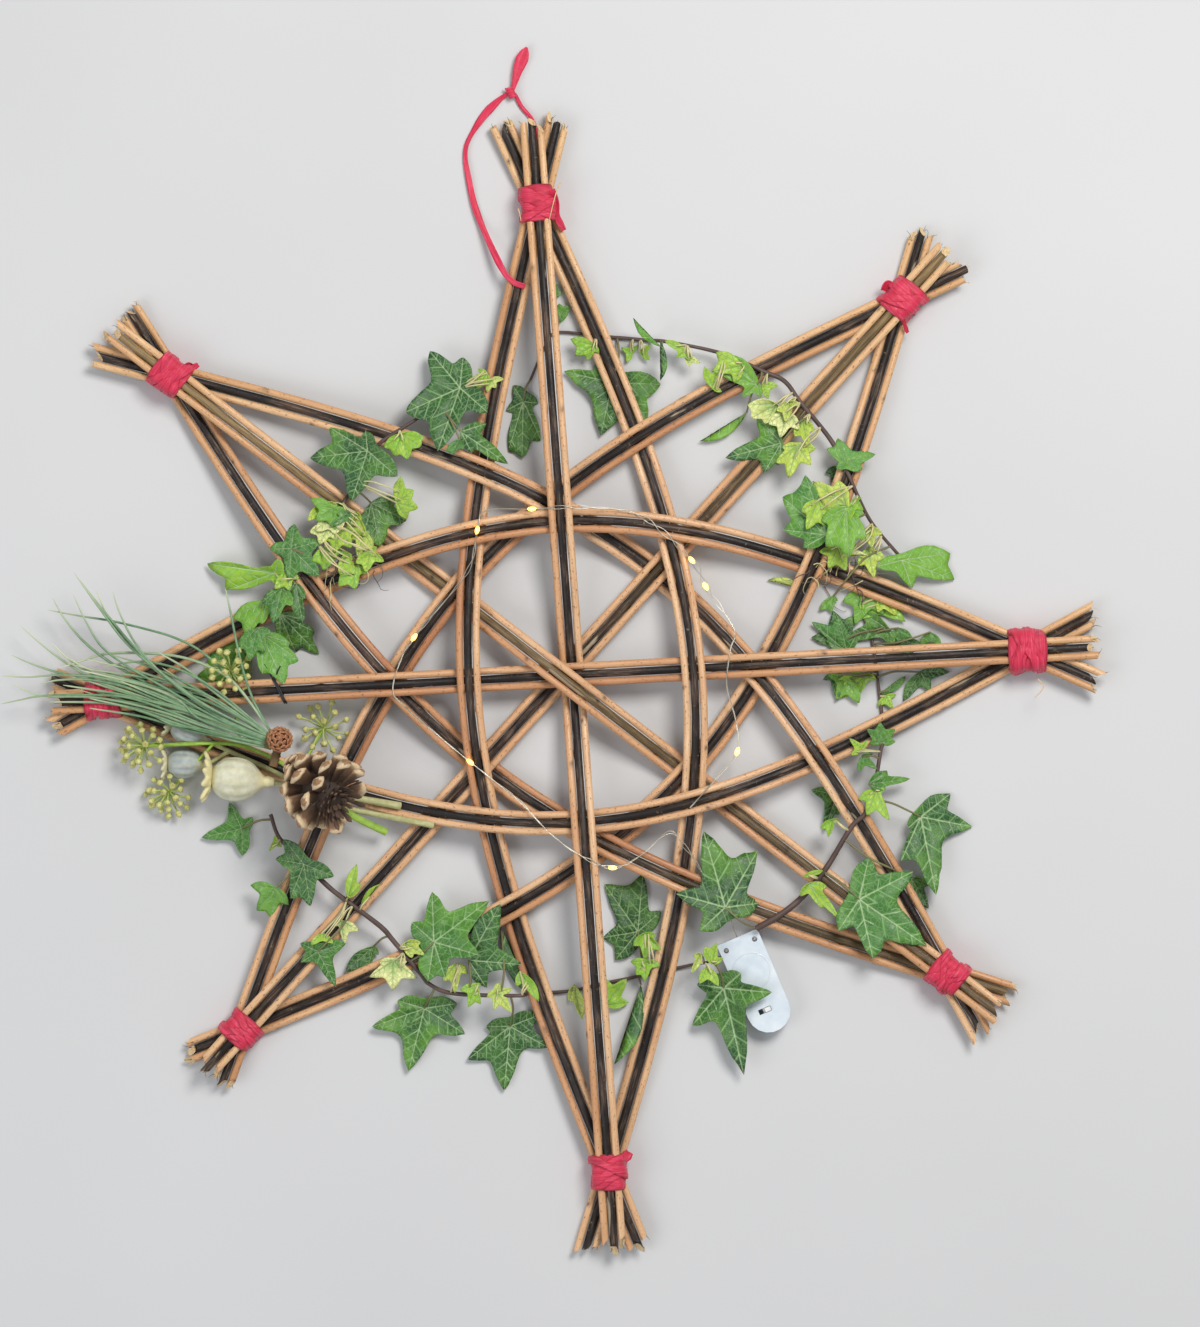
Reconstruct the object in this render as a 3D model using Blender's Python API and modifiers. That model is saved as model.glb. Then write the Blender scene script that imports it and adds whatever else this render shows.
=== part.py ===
"""Woven willow star with raffia bindings, a hanging loop, ivy, a posy and a string of lights.

Metres, +Z up. The star lies on its back on z = 0 with its top point towards +Y. Plan positions are
measured from the hub where the four straight bundles cross, and the finished star is moved so that
its outline is centred on the origin.
"""

import math

import bmesh
import bpy
import numpy as np
from mathutils import Matrix, Vector

MM = 0.001
CLEARANCE = 0.3 * MM
SAMPLE = 1.0 * MM

# Willow rods: a bundle is two buff rods with a dark one between them.
BUFF_DIAMETER = 4.2 * MM
DARK_DIAMETER = 4.6 * MM
ROD_GAP = 0.4 * MM
ROD_END_SPREAD = 2.5 * MM
TABLE_ROOM = 2.6 * MM

# Star points: distance of the binding from the hub, bearing, reach of the rods past the binding.
POINTS = {
    "top": (270 * MM, 94.4, 45 * MM),
    "upper_right": (285 * MM, 48.9, 35 * MM),
    "right": (258.6 * MM, 3.2, 38 * MM),
    "lower_right": (272.6 * MM, -38.6, 34 * MM),
    "bottom": (283.4 * MM, -86.0, 42 * MM),
    "lower_left": (277.4 * MM, -133.2, 28 * MM),
    "left": (268.8 * MM, 182.9, 27 * MM),
    "upper_left": (287.2 * MM, 143.3, 40 * MM),
}
# How far the bowed bundles stand out from the line between their points
UPRIGHT_LEFT_BOW = 59 * MM
UPRIGHT_RIGHT_BOW = 69 * MM
LEVEL_UPPER_BOW = 88 * MM
LEVEL_LOWER_BOW = 84 * MM
RISING_UPPER_BOW = 77.5 * MM
RISING_LOWER_BOW = 90 * MM
FALLING_UPPER_BOW = 80 * MM
FALLING_LOWER_BOW = 68 * MM
# Vesicas: from point, to point, and how far each bundle bows to the left of the line between them.
VESICAS = {
    "upright": ("top", "bottom", {"straight": 0.0, "left": -UPRIGHT_LEFT_BOW, "right": UPRIGHT_RIGHT_BOW}),
    "level": ("left", "right", {"straight": 0.0, "upper": LEVEL_UPPER_BOW, "lower": -LEVEL_LOWER_BOW}),
    "rising": (
        "lower_left", "upper_right",
        {"straight": 0.0, "upper": RISING_UPPER_BOW, "lower": -RISING_LOWER_BOW},
    ),
    "falling": (
        "upper_left", "lower_right",
        {"straight": 0.0, "upper": FALLING_UPPER_BOW, "lower": -FALLING_LOWER_BOW},
    ),
}
HUB_ORDER = ("falling", "level", "upright", "rising")
FRONT_PAIR = ("upright", "level")
STATIONS = (0.0, 0.14, 0.28, 0.42, 0.58, 0.78, 1.0)

# Raffia
RAFFIA_WIDTH = 3.4 * MM
RAFFIA_THICKNESS = 0.9 * MM
RAFFIA_PITCH = 4.2 * MM
RAFFIA_ANGLES = (20, 60, 90, 118, 148, 176, 184, 212, 242, 270, 300, 340)
RAFFIA_FIRST = 11
RAFFIA_STEPS = 49
RAFFIA_EASE = 0.5 * MM
RAFFIA_FLAT = 0.7 * MM
LOOP_WIDTH = 3.6 * MM
LOOP_THICKNESS = 1.2 * MM
LOOP_KNOT = 3.4 * MM
LOOP_ROUTE = (
    (-21, 290), (-22, 306), (-23, 316), (-30, 325), (-36, 333), (-48, 324), (-57, 312),
    (-62, 300), (-60, 283), (-55, 263), (-42, 234), (-35, 225), (-28, 222),
)
LOOP_TAIL = ((-36, 333), (-34, 338), (-32, 346), (-27, 359))
LOOP_TAIL_WIDTHS = (1.6, 2.6, 4.6, 0.8)

# Battery case of the lights
CASE_LENGTH = 58 * MM
CASE_WALL = 1.6 * MM
CASE_FLOOR = 1.2 * MM
COVER_THICKNESS = 1.6 * MM
CELL_DIAMETER = 20 * MM
CELL_THICKNESS = 3.2 * MM
CELL_ROOM = 0.9 * MM
CASE_WIDTH = CELL_DIAMETER + 2 * (CASE_WALL + CELL_ROOM)
CELL_FROM_END = 21 * MM
CASE_AT = (93 * MM, -149 * MM)
CASE_BEARING = -66.8
SWITCH_FROM_END = 44.5 * MM
SWITCH_LENGTH = 3.4 * MM
SWITCH_BREADTH = 2.4 * MM
SWITCH_RISE = 1.0 * MM
SWITCH_TRAVEL = 3.5 * MM
SWITCH_FLANGE = 1.2 * MM
SWITCH_FLANGE_THICKNESS = 0.8 * MM
WIRE_DIAMETER = 0.9 * MM
LED_DIAMETER = 3.0 * MM
LED_LENGTH = 5.0 * MM
WIRE_ROUTE = (
    (88, -136), (79, -122), (70, -107), (63, -97), (54, -89), (38, -102), (22, -109), (2, -101),
    (-15, -88), (-31, -71), (-45, -60), (-59, -49), (-76, -35), (-97, -17), (-103, -8), (-99, 8),
    (-91, 22), (-61, 59), (-55, 83), (-50, 94), (-24, 95), (6, 96), (38, 91), (67, 66), (75, 51),
    (91, 27), (89, 15), (87, -5), (92, -25), (93, -43), (83, -56), (66, -75),
)
LED_PLACES = ((22, -109), (-59, -49), (-91, 22), (-55, 83), (-24, 95), (67, 66), (75, 51), (93, -43))

# Ivy: stem points and leaves (base, tip, breadth over length), in millimetres from the hub.
OVER = 1
UNDER = -1
STEM_DIAMETER = 2.0 * MM
STALK_DIAMETER = 1.3 * MM
LEAF_THICKNESS = 0.8 * MM
LEAF_JOIN = 3.0 * MM
LEAF_HALF = ((0.58, -0.10), (0.60, 0.16), (1.0, 0.38), (0.44, 0.50))
IVY = {
    "upper_left": (
        ((-185, 16, OVER), (-178, 33, OVER), (-165, 48, OVER), (-153, 63, OVER), (-146, 75, OVER),
         (-127, 106, OVER), (-114, 129, OVER), (-98, 141, OVER), (-79, 153, OVER), (-64, 164, OVER)),
        ((-64, 164, -78, 128, 1.2, OVER), (-63, 137, -38, 121, 0.6, OVER),
         (-115, 130, -127, 100, 1.3, OVER), (-115, 100, -111, 74, 1.0, OVER),
         (-156, 82, -150, 56, 1.0, OVER), (-169, 61, -210, 64, 0.45, OVER),
         (-172, 46, -193, 35, 0.8, OVER), (-166, 31, -146, 19, 0.9, OVER),
         (-176, 26, -169, -2, 1.0, OVER), (-131, 100, -144, 79, 0.9, OVER)),
    ),
    "upper_right": (
        ((-25, 169, UNDER), (-17, 187, UNDER), (-10, 196, UNDER), (15, 194, UNDER), (38, 192, UNDER),
         (56, 190, OVER), (84, 184, OVER), (107, 174, OVER), (120, 168, OVER), (129, 156, OVER),
         (146, 135, OVER), (155, 118, OVER), (161, 104, OVER), (170, 87, OVER), (187, 67, OVER)),
        ((-29, 156, -32, 125, 0.6, UNDER), (27, 173, 15, 138, 1.3, UNDER),
         (107, 166, 82, 180, 0.75, OVER), (119, 134, 86, 124, 0.85, OVER),
         (155, 119, 173, 127, 0.9, OVER), (145, 78, 131, 115, 0.9, OVER),
         (155, 92, 136, 111, 0.8, OVER), (188, 66, 217, 55, 0.9, OVER)),
    ),
    "right": (
        ((162, 40, UNDER), (170, 21, UNDER), (174, -8, UNDER), (177, -34, UNDER), (175, -42, OVER),
         (171, -64, OVER), (166, -78, OVER), (158, -86, OVER), (144, -109, OVER), (131, -125, OVER),
         (119, -135, OVER), (104, -144, OVER)),
        ((158, 36, 137, 22, 0.9, UNDER), (182, 31, 157, 22, 0.7, UNDER), (166, 0, 147, -8, 0.9, UNDER),
         (188, 0, 212, 1, 0.6, UNDER), (168, -61, 191, -59, 0.6, OVER),
         (197, -79, 206, -124, 1.0, OVER), (162, -127, 201, -153, 1.05, OVER),
         (136, -115, 150, -137, 0.8, OVER), (87, -131, 74, -88, 1.05, OVER)),
    ),
    "bottom": (
        ((84, -160, OVER), (76, -163, OVER), (67, -165, UNDER), (39, -171, UNDER), (15, -176, UNDER),
         (-3, -180, UNDER), (-23, -181, UNDER), (-34, -182, OVER), (-68, -181, OVER), (-82, -176, OVER),
         (-88, -169, OVER), (-103, -151, OVER), (-110, -143, OVER), (-127, -130, OVER), (-140, -120, OVER),
         (-156, -104, OVER), (-168, -92, OVER), (-173, -79, OVER)),
        ((85, -179, 96, -227, 0.9, OVER), (38, -148, 16, -117, 1.0, UNDER),
         (30, -195, 22, -222, 0.35, UNDER), (-37, -200, -40, -237, 1.2, OVER),
         (-86, -189, -95, -226, 1.3, OVER), (-80, -151, -48, -128, 1.0, OVER),
         (-56, -161, -36, -133, 1.0, OVER),
         (-146, -151, -134, -177, 0.9, OVER), (-154, -96, -152, -130, 0.95, OVER),
         (-163, -116, -178, -135, 0.9, OVER), (-186, -84, -212, -90, 1.0, OVER),
         (-128, -129, -124, -108, 0.45, OVER)),
    ),
}

# Posy
POPPY_RADIUS = 12.2 * MM
POPPY_LENGTH = 29 * MM
POPPY_STALK = 3.4 * MM
POPPY_ROUTE = ((-192, -59), (-177, -60), (-156, -64), (-133, -68), (-99, -74))
PAIR_RADII = (8.0 * MM, 6.6 * MM)
PAIR_LENGTH = 20 * MM
PAIR_STALK = 2.6 * MM
PAIR_ROUTE = ((-220, -32), (-209, -37), (-190, -46), (-176, -52), (-160, -60), (-133, -75), (-80, -85))
PAIR_BRANCH = ((-222, -50), (-211, -50), (-197, -43))
FLOWER_STEM = 2.2 * MM
FLOWER_ROUTE = ((-247, -40), (-205, -38), (-190, -39), (-168, -48), (-146, -66), (-124, -81), (-107, -89))
FLOWER_BRANCH = 1.6 * MM
# Umbels: place, the way each faces, how far it spreads, and where its branch leaves the stem.
UMBELS = (
    ((-247, -40), (-0.85, 0.0, 0.5), 62.0, None),
    ((-232, -73), (-0.25, -0.45, 0.86), 64.0, (-205, -38)),
    ((-143, -30), (0.0, 0.15, 0.99), 70.0, (-158, -56)),
    ((-197, 4), (0.0, 0.05, 0.99), 42.0, (-190, -39)),
)
UMBEL_RADIUS = 15 * MM
UMBEL_BUDS = 7
UMBEL_HUB = 2.2 * MM
BUD_STALK = 0.9 * MM
BUD_DIAMETER = 4.2 * MM
NEEDLE_DIAMETER = 1.3 * MM
NEEDLE_ROOT = (-167, -36)
NEEDLE_WAIST = (-226, -10)
NEEDLE_WAIST_WIDTH = 30
NEEDLE_RISE = 0.05
NEEDLE_TIPS = (
    (-284, 59), (-272, 49), (-262, 47), (-285, 46), (-297, 44), (-300, 38), (-315, 28), (-298, 18),
    (-320, 12), (-327, 0), (-320, -5), (-327, -15), (-303, -5), (-280, 22), (-268, 12), (-262, -14),
)
TWIG_DIAMETER = 5.0 * MM
TWIG_LENGTH = 22.0 * MM
TWIG_BEARING = 75.0
YOUNG_CONE_DIAMETER = 14.5 * MM
CONE_LENGTH = 44 * MM
CONE_RADIUS = 25 * MM
CONE_SCALES = 26
CONE_AT = (-142, -66)
CONE_AXIS = (-0.62, 0.52, -0.59)
GOLDEN_ANGLE = math.radians(137.508)

CORDS = ("hanging_loop", "light_string")

# Looks: colour, roughness, metallic
LOOKS = {
    "buff": ((0.62, 0.36, 0.16), 0.45, 0.0),
    "dark": ((0.03, 0.024, 0.02), 0.5, 0.0),
    "raffia": ((0.58, 0.03, 0.09), 0.6, 0.0),
    "ivy": ((0.05, 0.17, 0.05), 0.35, 0.0),
    "case": ((0.72, 0.78, 0.80), 0.25, 0.0),
    "cell": ((0.55, 0.55, 0.56), 0.3, 1.0),
    "wire": ((0.6, 0.58, 0.5), 0.35, 0.0),
    "poppy": ((0.62, 0.63, 0.48), 0.6, 0.0),
    "poppy_grey": ((0.33, 0.37, 0.37), 0.6, 0.0),
    "bud": ((0.55, 0.55, 0.12), 0.55, 0.0),
    "needle": ((0.12, 0.25, 0.12), 0.4, 0.0),
    "cone": ((0.24, 0.16, 0.09), 0.7, 0.0),
}


# Weave


def point_at(name):
    distance, bearing, reach = POINTS[name]
    turn = math.radians(bearing)
    return np.array([math.cos(turn), math.sin(turn)]) * distance, reach


def bow_shape(s):
    """Deflection of a rod sprung over its middle, 1 at the middle and 0 at the bindings."""
    u = 1 - abs(s)
    return (3 * u - u**3) / 2 if u > 0 else 1.5 * u


def make_bundles():
    bundles = []
    for vesica, (start, end, members) in VESICAS.items():
        (a, reach_a), (b, reach_b) = point_at(start), point_at(end)
        half = np.linalg.norm(b - a) / 2
        along = (b - a) / (2 * half)
        left = np.array([-along[1], along[0]])
        s = [-v for v in reversed(STATIONS[1:])] + list(STATIONS)
        s = [-(1 + reach_a / half)] + s + [1 + reach_b / half]
        for member, bow in members.items():
            line = [(a + b) / 2 + along * v * half + left * bow_shape(v) * bow for v in s]
            bundles.append(
                {
                    "vesica": vesica,
                    "member": member,
                    "points": (start, end),
                    "line": np.array(line),
                    "bows_to": left * bow,
                    "straight": bow == 0,
                }
            )
    return bundles


def across(line):
    heading = np.gradient(line, axis=0)
    heading /= np.linalg.norm(heading, axis=1)[:, None]
    return np.stack([-heading[:, 1], heading[:, 0]], axis=1)


def make_rods(bundles):
    pitch = (BUFF_DIAMETER + DARK_DIAMETER) / 2 + ROD_GAP
    rods = []
    for number, bundle in enumerate(bundles):
        side = across(bundle["line"])
        for place, offset in enumerate((-pitch, 0.0, pitch)):
            rods.append(
                {
                    "bundle": number,
                    "place": place,
                    "plan": bundle["line"] + side * offset,
                    "radius": (DARK_DIAMETER if place == 1 else BUFF_DIAMETER) / 2,
                }
            )
    return rods


def goes_over(p, q):
    """Whether bundle p passes over bundle q where they cross."""
    if p["vesica"] == q["vesica"]:
        if p["straight"] or q["straight"]:
            return p["straight"]
        return p["bows_to"] @ np.array([1.0, -1.0]) < q["bows_to"] @ np.array([1.0, -1.0])
    straights = p["straight"] + q["straight"]
    if straights == 2:
        return HUB_ORDER.index(p["vesica"]) < HUB_ORDER.index(q["vesica"])
    front = [bundle["vesica"] in FRONT_PAIR for bundle in (p, q)]
    if all(front):
        return p["vesica"] == ("upright" if straights else "level")
    if not any(front):
        return p["vesica"] == ("rising" if straights else "falling")
    if straights:
        return front[0]
    return front[0] == bool(p["bows_to"] @ q["bows_to"] > 0)


def plan_crossings(a, b):
    found = []
    step_b = np.diff(b, axis=0)
    for i in range(len(a) - 1):
        d, w = a[i + 1] - a[i], b[:-1] - a[i]
        area = d[0] * step_b[:, 1] - d[1] * step_b[:, 0]
        area[np.abs(area) < 1e-15] = 1e-15
        u = (w[:, 0] * step_b[:, 1] - w[:, 1] * step_b[:, 0]) / area
        v = (w[:, 0] * d[1] - w[:, 1] * d[0]) / area
        for j in np.nonzero((u >= 0) & (u < 1) & (v >= 0) & (v < 1))[0]:
            found.append((i, u[j], j, v[j]))
    return found


def segment_gaps(p, q):
    """Least distance of each segment of p from each segment of q."""
    u, v = np.diff(p, axis=0)[:, None], np.diff(q, axis=0)[None]
    w = p[:-1][:, None] - q[:-1][None]
    a, b, c = (u * u).sum(-1), (u * v).sum(-1), (v * v).sum(-1)
    d, e = (u * w).sum(-1), (v * w).sum(-1)
    area = np.maximum(a * c - b * b, 1e-18)
    s = np.clip((b * e - c * d) / area, 0, 1)
    t = np.clip((b * s + e) / c, 0, 1)
    s = np.clip((b * t - d) / a, 0, 1)
    t = np.clip((b * s + e) / c, 0, 1)
    return np.linalg.norm(w + s[..., None] * u - t[..., None] * v, axis=-1)


def stiffness(bundles):
    """Bending stiffness of the bundles' heights, with a light pull down to the table."""
    count = len(bundles[0]["line"])
    matrix = np.zeros((len(bundles) * count,) * 2)
    for number, bundle in enumerate(bundles):
        step = np.linalg.norm(np.diff(bundle["line"], axis=0), axis=1) / (30 * MM)
        for i in range(1, count - 1):
            row = np.zeros(len(matrix))
            at = number * count + i
            row[at - 1], row[at + 1] = 1 / step[i - 1], 1 / step[i]
            row[at] = -row[at - 1] - row[at + 1]
            matrix += np.outer(row, row) * 2 / (step[i - 1] + step[i])
        for i in range(count):
            share = (step[max(i - 1, 0)] + step[min(i, count - 2)]) / 2
            matrix[number * count + i, number * count + i] += 0.004 * share
    return matrix


def solve_heights(bundles, rods):
    """Heights of the bundles at their stations: the stiffest weave in which no two rods touch."""
    count = len(bundles[0]["line"])
    size = len(bundles) * count
    rows, least, pairs = [], [], []

    def ask(terms, value, pair=None):
        row = np.zeros(size)
        for at, share in terms:
            row[at] += share
        rows.append(row)
        least.append(value)
        pairs.append(pair)

    for i, p in enumerate(rods):
        for j in range(i + 1, len(rods)):
            q = rods[j]
            if p["bundle"] == q["bundle"]:
                continue
            high, low = (i, j) if goes_over(bundles[p["bundle"]], bundles[q["bundle"]]) else (j, i)
            for k, u, m, v in plan_crossings(rods[high]["plan"], rods[low]["plan"]):
                a, b = rods[high]["bundle"] * count + k, rods[low]["bundle"] * count + m
                room = p["radius"] + q["radius"] + CLEARANCE
                ask(((a, 1 - u), (a + 1, u), (b, v - 1), (b + 1, -v)), room, (i, j))
    layer = DARK_DIAMETER + 2 * CLEARANCE
    ground = DARK_DIAMETER / 2 + CLEARANCE + RAFFIA_EASE + RAFFIA_THICKNESS - RAFFIA_FLAT
    for number, bundle in enumerate(bundles):
        for i in range(count):
            bound = i in (1, count - 2)
            ask(((number * count + i, 1.0),), ground if bound else DARK_DIAMETER / 2 + TABLE_ROOM)
    for first in range(0, len(bundles), 3):
        stack = sorted(range(first, first + 3), key=lambda n: sum(
            goes_over(bundles[n], bundles[m]) for m in range(first, first + 3) if m != n))
        for i in (1, count - 2):
            ask(((stack[0] * count + i, -1.0),), -ground - CLEARANCE / 4)
            for low, high in zip(stack, stack[1:]):
                ask(((low * count + i, 1.0), (high * count + i, -1.0)), -layer - CLEARANCE)
    rows, least = np.array(rows), np.array(least)
    reply = np.linalg.solve(stiffness(bundles), rows.T)
    matrix = rows @ reply
    weight = np.diag(matrix).copy()
    push = np.zeros(len(rows))
    for _ in range(6):
        felt = matrix @ push
        for _ in range(250):
            worst = 0.0
            for n in range(len(rows)):
                change = max(0.0, push[n] + (least[n] - felt[n]) / weight[n]) - push[n]
                if change:
                    push[n] += change
                    felt += matrix[:, n] * change
                    worst = max(worst, abs(change) * weight[n])
            if worst < 1e-6:
                break
        heights = (reply @ push).reshape(len(bundles), count)
        gaps = {}
        for i, p in enumerate(rods):
            for j in range(i + 1, len(rods)):
                q = rods[j]
                if p["bundle"] != q["bundle"]:
                    lines = [np.column_stack([r["plan"], heights[r["bundle"]]]) for r in (p, q)]
                    gaps[i, j] = segment_gaps(*lines).min() - p["radius"] - q["radius"]
        for n, pair in enumerate(pairs):
            if pair and gaps[pair] < CLEARANCE:
                least[n] += (CLEARANCE - gaps[pair]) * 1.15
    print(f"rods: least gap between crossing rods {min(gaps.values()) / MM:.2f} mm")
    return heights


# What is already placed, as balls


class Pile:
    def __init__(self):
        self.centres = np.zeros((0, 3))
        self.radii = np.zeros(0)
        self.owners = np.zeros(0, dtype=int)
        self.names = []

    def add(self, owner, centres, radii):
        if owner not in self.names:
            self.names.append(owner)
        centres = np.atleast_2d(np.array(centres, float))
        self.centres = np.vstack([self.centres, centres])
        self.radii = np.append(self.radii, np.broadcast_to(radii, len(centres)))
        self.owners = np.append(self.owners, np.full(len(centres), self.names.index(owner)))

    def near(self, plan, radius, skip):
        low, high = plan.min(axis=0), plan.max(axis=0)
        reach = self.radii.max() + radius + CLEARANCE
        keep = ((self.centres[:, :2] > low - reach) & (self.centres[:, :2] < high + reach)).all(axis=1)
        for name in skip:
            if name in self.names:
                keep &= self.owners != self.names.index(name)
        centres, reach = self.centres[keep], self.radii[keep] + radius + CLEARANCE
        apart = ((plan[:, None] - centres[None, :, :2]) ** 2).sum(axis=-1)
        rise = np.sqrt(np.maximum(reach**2 - apart, 0))
        return centres[:, 2], rise, apart < reach**2

    def above(self, plan, radius, skip=()):
        """Lowest height at which a ball of this radius lies above everything it could touch."""
        z, rise, meets = self.near(plan, radius, skip)
        floor = np.full(len(plan), radius + CLEARANCE / 2)
        return np.maximum(floor, np.where(meets, z + rise, -1.0).max(axis=1, initial=-1.0))

    def below(self, plan, radius, skip=()):
        """Greatest height at which a ball of this radius lies below everything it could touch."""
        z, rise, meets = self.near(plan, radius, skip)
        return np.where(meets, z - rise, 1.0).min(axis=1, initial=1.0)


def spaced(line, step):
    line = np.array(line, float)
    length = np.concatenate([[0], np.cumsum(np.linalg.norm(np.diff(line, axis=0), axis=1))])
    at = np.linspace(0, length[-1], max(2, math.ceil(length[-1] / step) + 1))
    return np.stack([np.interp(at, length, line[:, k]) for k in range(line.shape[1])], axis=1)


def thinned(line, within):
    """The line without the points that lie within that distance of the line through the rest."""
    ends = line[-1] - line[0]
    along = np.clip((line - line[0]) @ ends / max(ends @ ends, 1e-15), 0, 1)
    off = np.linalg.norm(line - line[0] - along[:, None] * ends, axis=1)
    worst = int(off.argmax())
    if off[worst] <= within:
        return np.array([line[0], line[-1]])
    return np.vstack([thinned(line[: worst + 1], within)[:-1], thinned(line[worst:], within)])


def eased(line, least):
    """The line without the inner points that lie nearer than that to the point before or to the end."""
    kept = [line[0]]
    for p in line[1:-1]:
        if np.linalg.norm(p - kept[-1]) >= least and np.linalg.norm(p - line[-1]) >= least:
            kept.append(p)
    return np.array(kept + [line[-1]])


def draped(pile, route, radius, slope, skip=(), ends=(None, None), within=0.12 * MM):
    """A stem along a plan route (x, y in mm, OVER or UNDER), sinking by slope between its rests."""
    route = [tuple(p) + (OVER,) * (3 - len(p)) for p in route]
    fine = spaced(np.array([(x * MM, y * MM, side) for x, y, side in route]), SAMPLE)
    plan, over = fine[:, :2], fine[:, 2] > 0
    low = np.full(len(plan), radius + CLEARANCE / 2)
    low[over] = pile.above(plan[over], radius + within / 2, skip) if over.any() else 0
    for place, z in zip((0, -1), ends):
        if z is not None:
            low[place] = z
    step = np.concatenate([[0], np.cumsum(np.linalg.norm(np.diff(plan, axis=0), axis=1))])
    z = (low[None] - slope * np.abs(step[:, None] - step[None])).max(axis=1)
    for _ in range(6):
        z[1:-1] = np.maximum(low[1:-1], (z[:-2] + 2 * z[1:-1] + z[2:]) / 4)
    if (~over).any():
        z[~over] = np.minimum(z[~over], pile.below(plan[~over], radius + within / 2, skip))
        z = np.maximum(z, radius + CLEARANCE / 2)
    for place, height in zip((0, -1), ends):
        if height is not None:
            z[place] = height
    return eased(thinned(np.column_stack([plan, z]), within), 1.6 * radius)


# Solids


def curve_object(name, dimensions):
    curve = bpy.data.curves.new(name, "CURVE")
    curve.dimensions = dimensions
    obj = bpy.data.objects.new(name, curve)
    PARTS.objects.link(obj)
    return obj


def add_line(curve, line, cyclic=False):
    spline = curve.splines.new("POLY")
    spline.points.add(len(line) - 1)
    for point, place in zip(spline.points, line):
        point.co = (*place, 1.0)
    spline.use_cyclic_u = cyclic
    return spline


def tube(name, line, radii, resolution=0):
    """A round stem along a line; it has 4 sides, or 6 at resolution 1."""
    obj = curve_object(name, "3D")
    radii = np.broadcast_to(radii, len(line))
    obj.data.bevel_depth = radii.max()
    obj.data.bevel_resolution = resolution
    obj.data.use_fill_caps = True
    spline = add_line(obj.data, line)
    for point, radius in zip(spline.points, radii):
        point.radius = radius / radii.max()
    return obj


def tape(name, line, widths, thickness):
    """A flat strip along a line, lying on its broad side."""
    obj = curve_object(name, "3D")
    widths = np.broadcast_to(widths, len(line))
    obj.data.extrude = (widths.max() - thickness) / 2
    obj.data.bevel_depth = thickness / 2
    obj.data.bevel_resolution = 0
    obj.data.use_fill_caps = True
    obj.data.twist_mode = "Z_UP"
    spline = add_line(obj.data, line)
    for point, width in zip(spline.points, widths):
        point.radius = width / widths.max()
        point.tilt = math.pi / 2
    return obj


def plate(name, outline, low, high):
    """A flat outline in plan with a thickness."""
    obj = curve_object(name, "2D")
    obj.data.fill_mode = "BOTH"
    obj.data.extrude = (high - low) / 2
    add_line(obj.data, [(x, y, 0.0) for x, y in outline], cyclic=True)
    obj.location.z = (low + high) / 2
    return obj


def mesh_object(name, bm):
    mesh = bpy.data.meshes.new(name)
    bm.to_mesh(mesh)
    bm.free()
    obj = bpy.data.objects.new(name, mesh)
    PARTS.objects.link(obj)
    return obj


def towards(axis):
    """Rotation that turns +Z onto the axis."""
    return Vector(axis).to_track_quat("Z", "Y").to_matrix().to_4x4()


def ball(name, centre, radius, axis=(0.0, 0.0, 1.0), segments=6, rings=4, stretch=1.0):
    bm = bmesh.new()
    place = Matrix.Translation(centre) @ towards(axis) @ Matrix.Diagonal((1.0, 1.0, stretch, 1.0))
    bmesh.ops.create_uvsphere(bm, u_segments=segments, v_segments=rings, radius=radius, matrix=place)
    return mesh_object(name, bm)


def turned(name, profile, centre, axis, segments):
    """A turned solid: its profile of (along, radius) starts and ends on the axis."""
    mesh = bpy.data.meshes.new(name)
    count = len(profile)
    edges = [(k, k + 1) for k in range(count - 1)]
    mesh.from_pydata([(r, 0.0, h) for h, r in reversed(profile)], edges, [])
    obj = bpy.data.objects.new(name, mesh)
    PARTS.objects.link(obj)
    screw = obj.modifiers.new("Screw", "SCREW")
    screw.steps = segments
    screw.render_steps = segments
    screw.use_merge_vertices = True
    screw.merge_threshold = 0.00001
    obj.matrix_world = Matrix.Translation(centre) @ towards(axis)
    return obj


pieces = []


def piece(name, look, solids, cuts=(), origin=None):
    pieces.append((name, look, list(solids), list(cuts), origin))


# Rods and bindings


def rod_line(rod, number, heights):
    line = np.column_stack([rod["plan"], heights[rod["bundle"]]])
    for end, inner in ((0, 1), (-1, -2)):
        heading = (line[end] - line[inner]) / np.linalg.norm(line[end] - line[inner])
        line[end] += heading * ROD_END_SPREAD * math.sin(2.4 * number + end)
    return line


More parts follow.
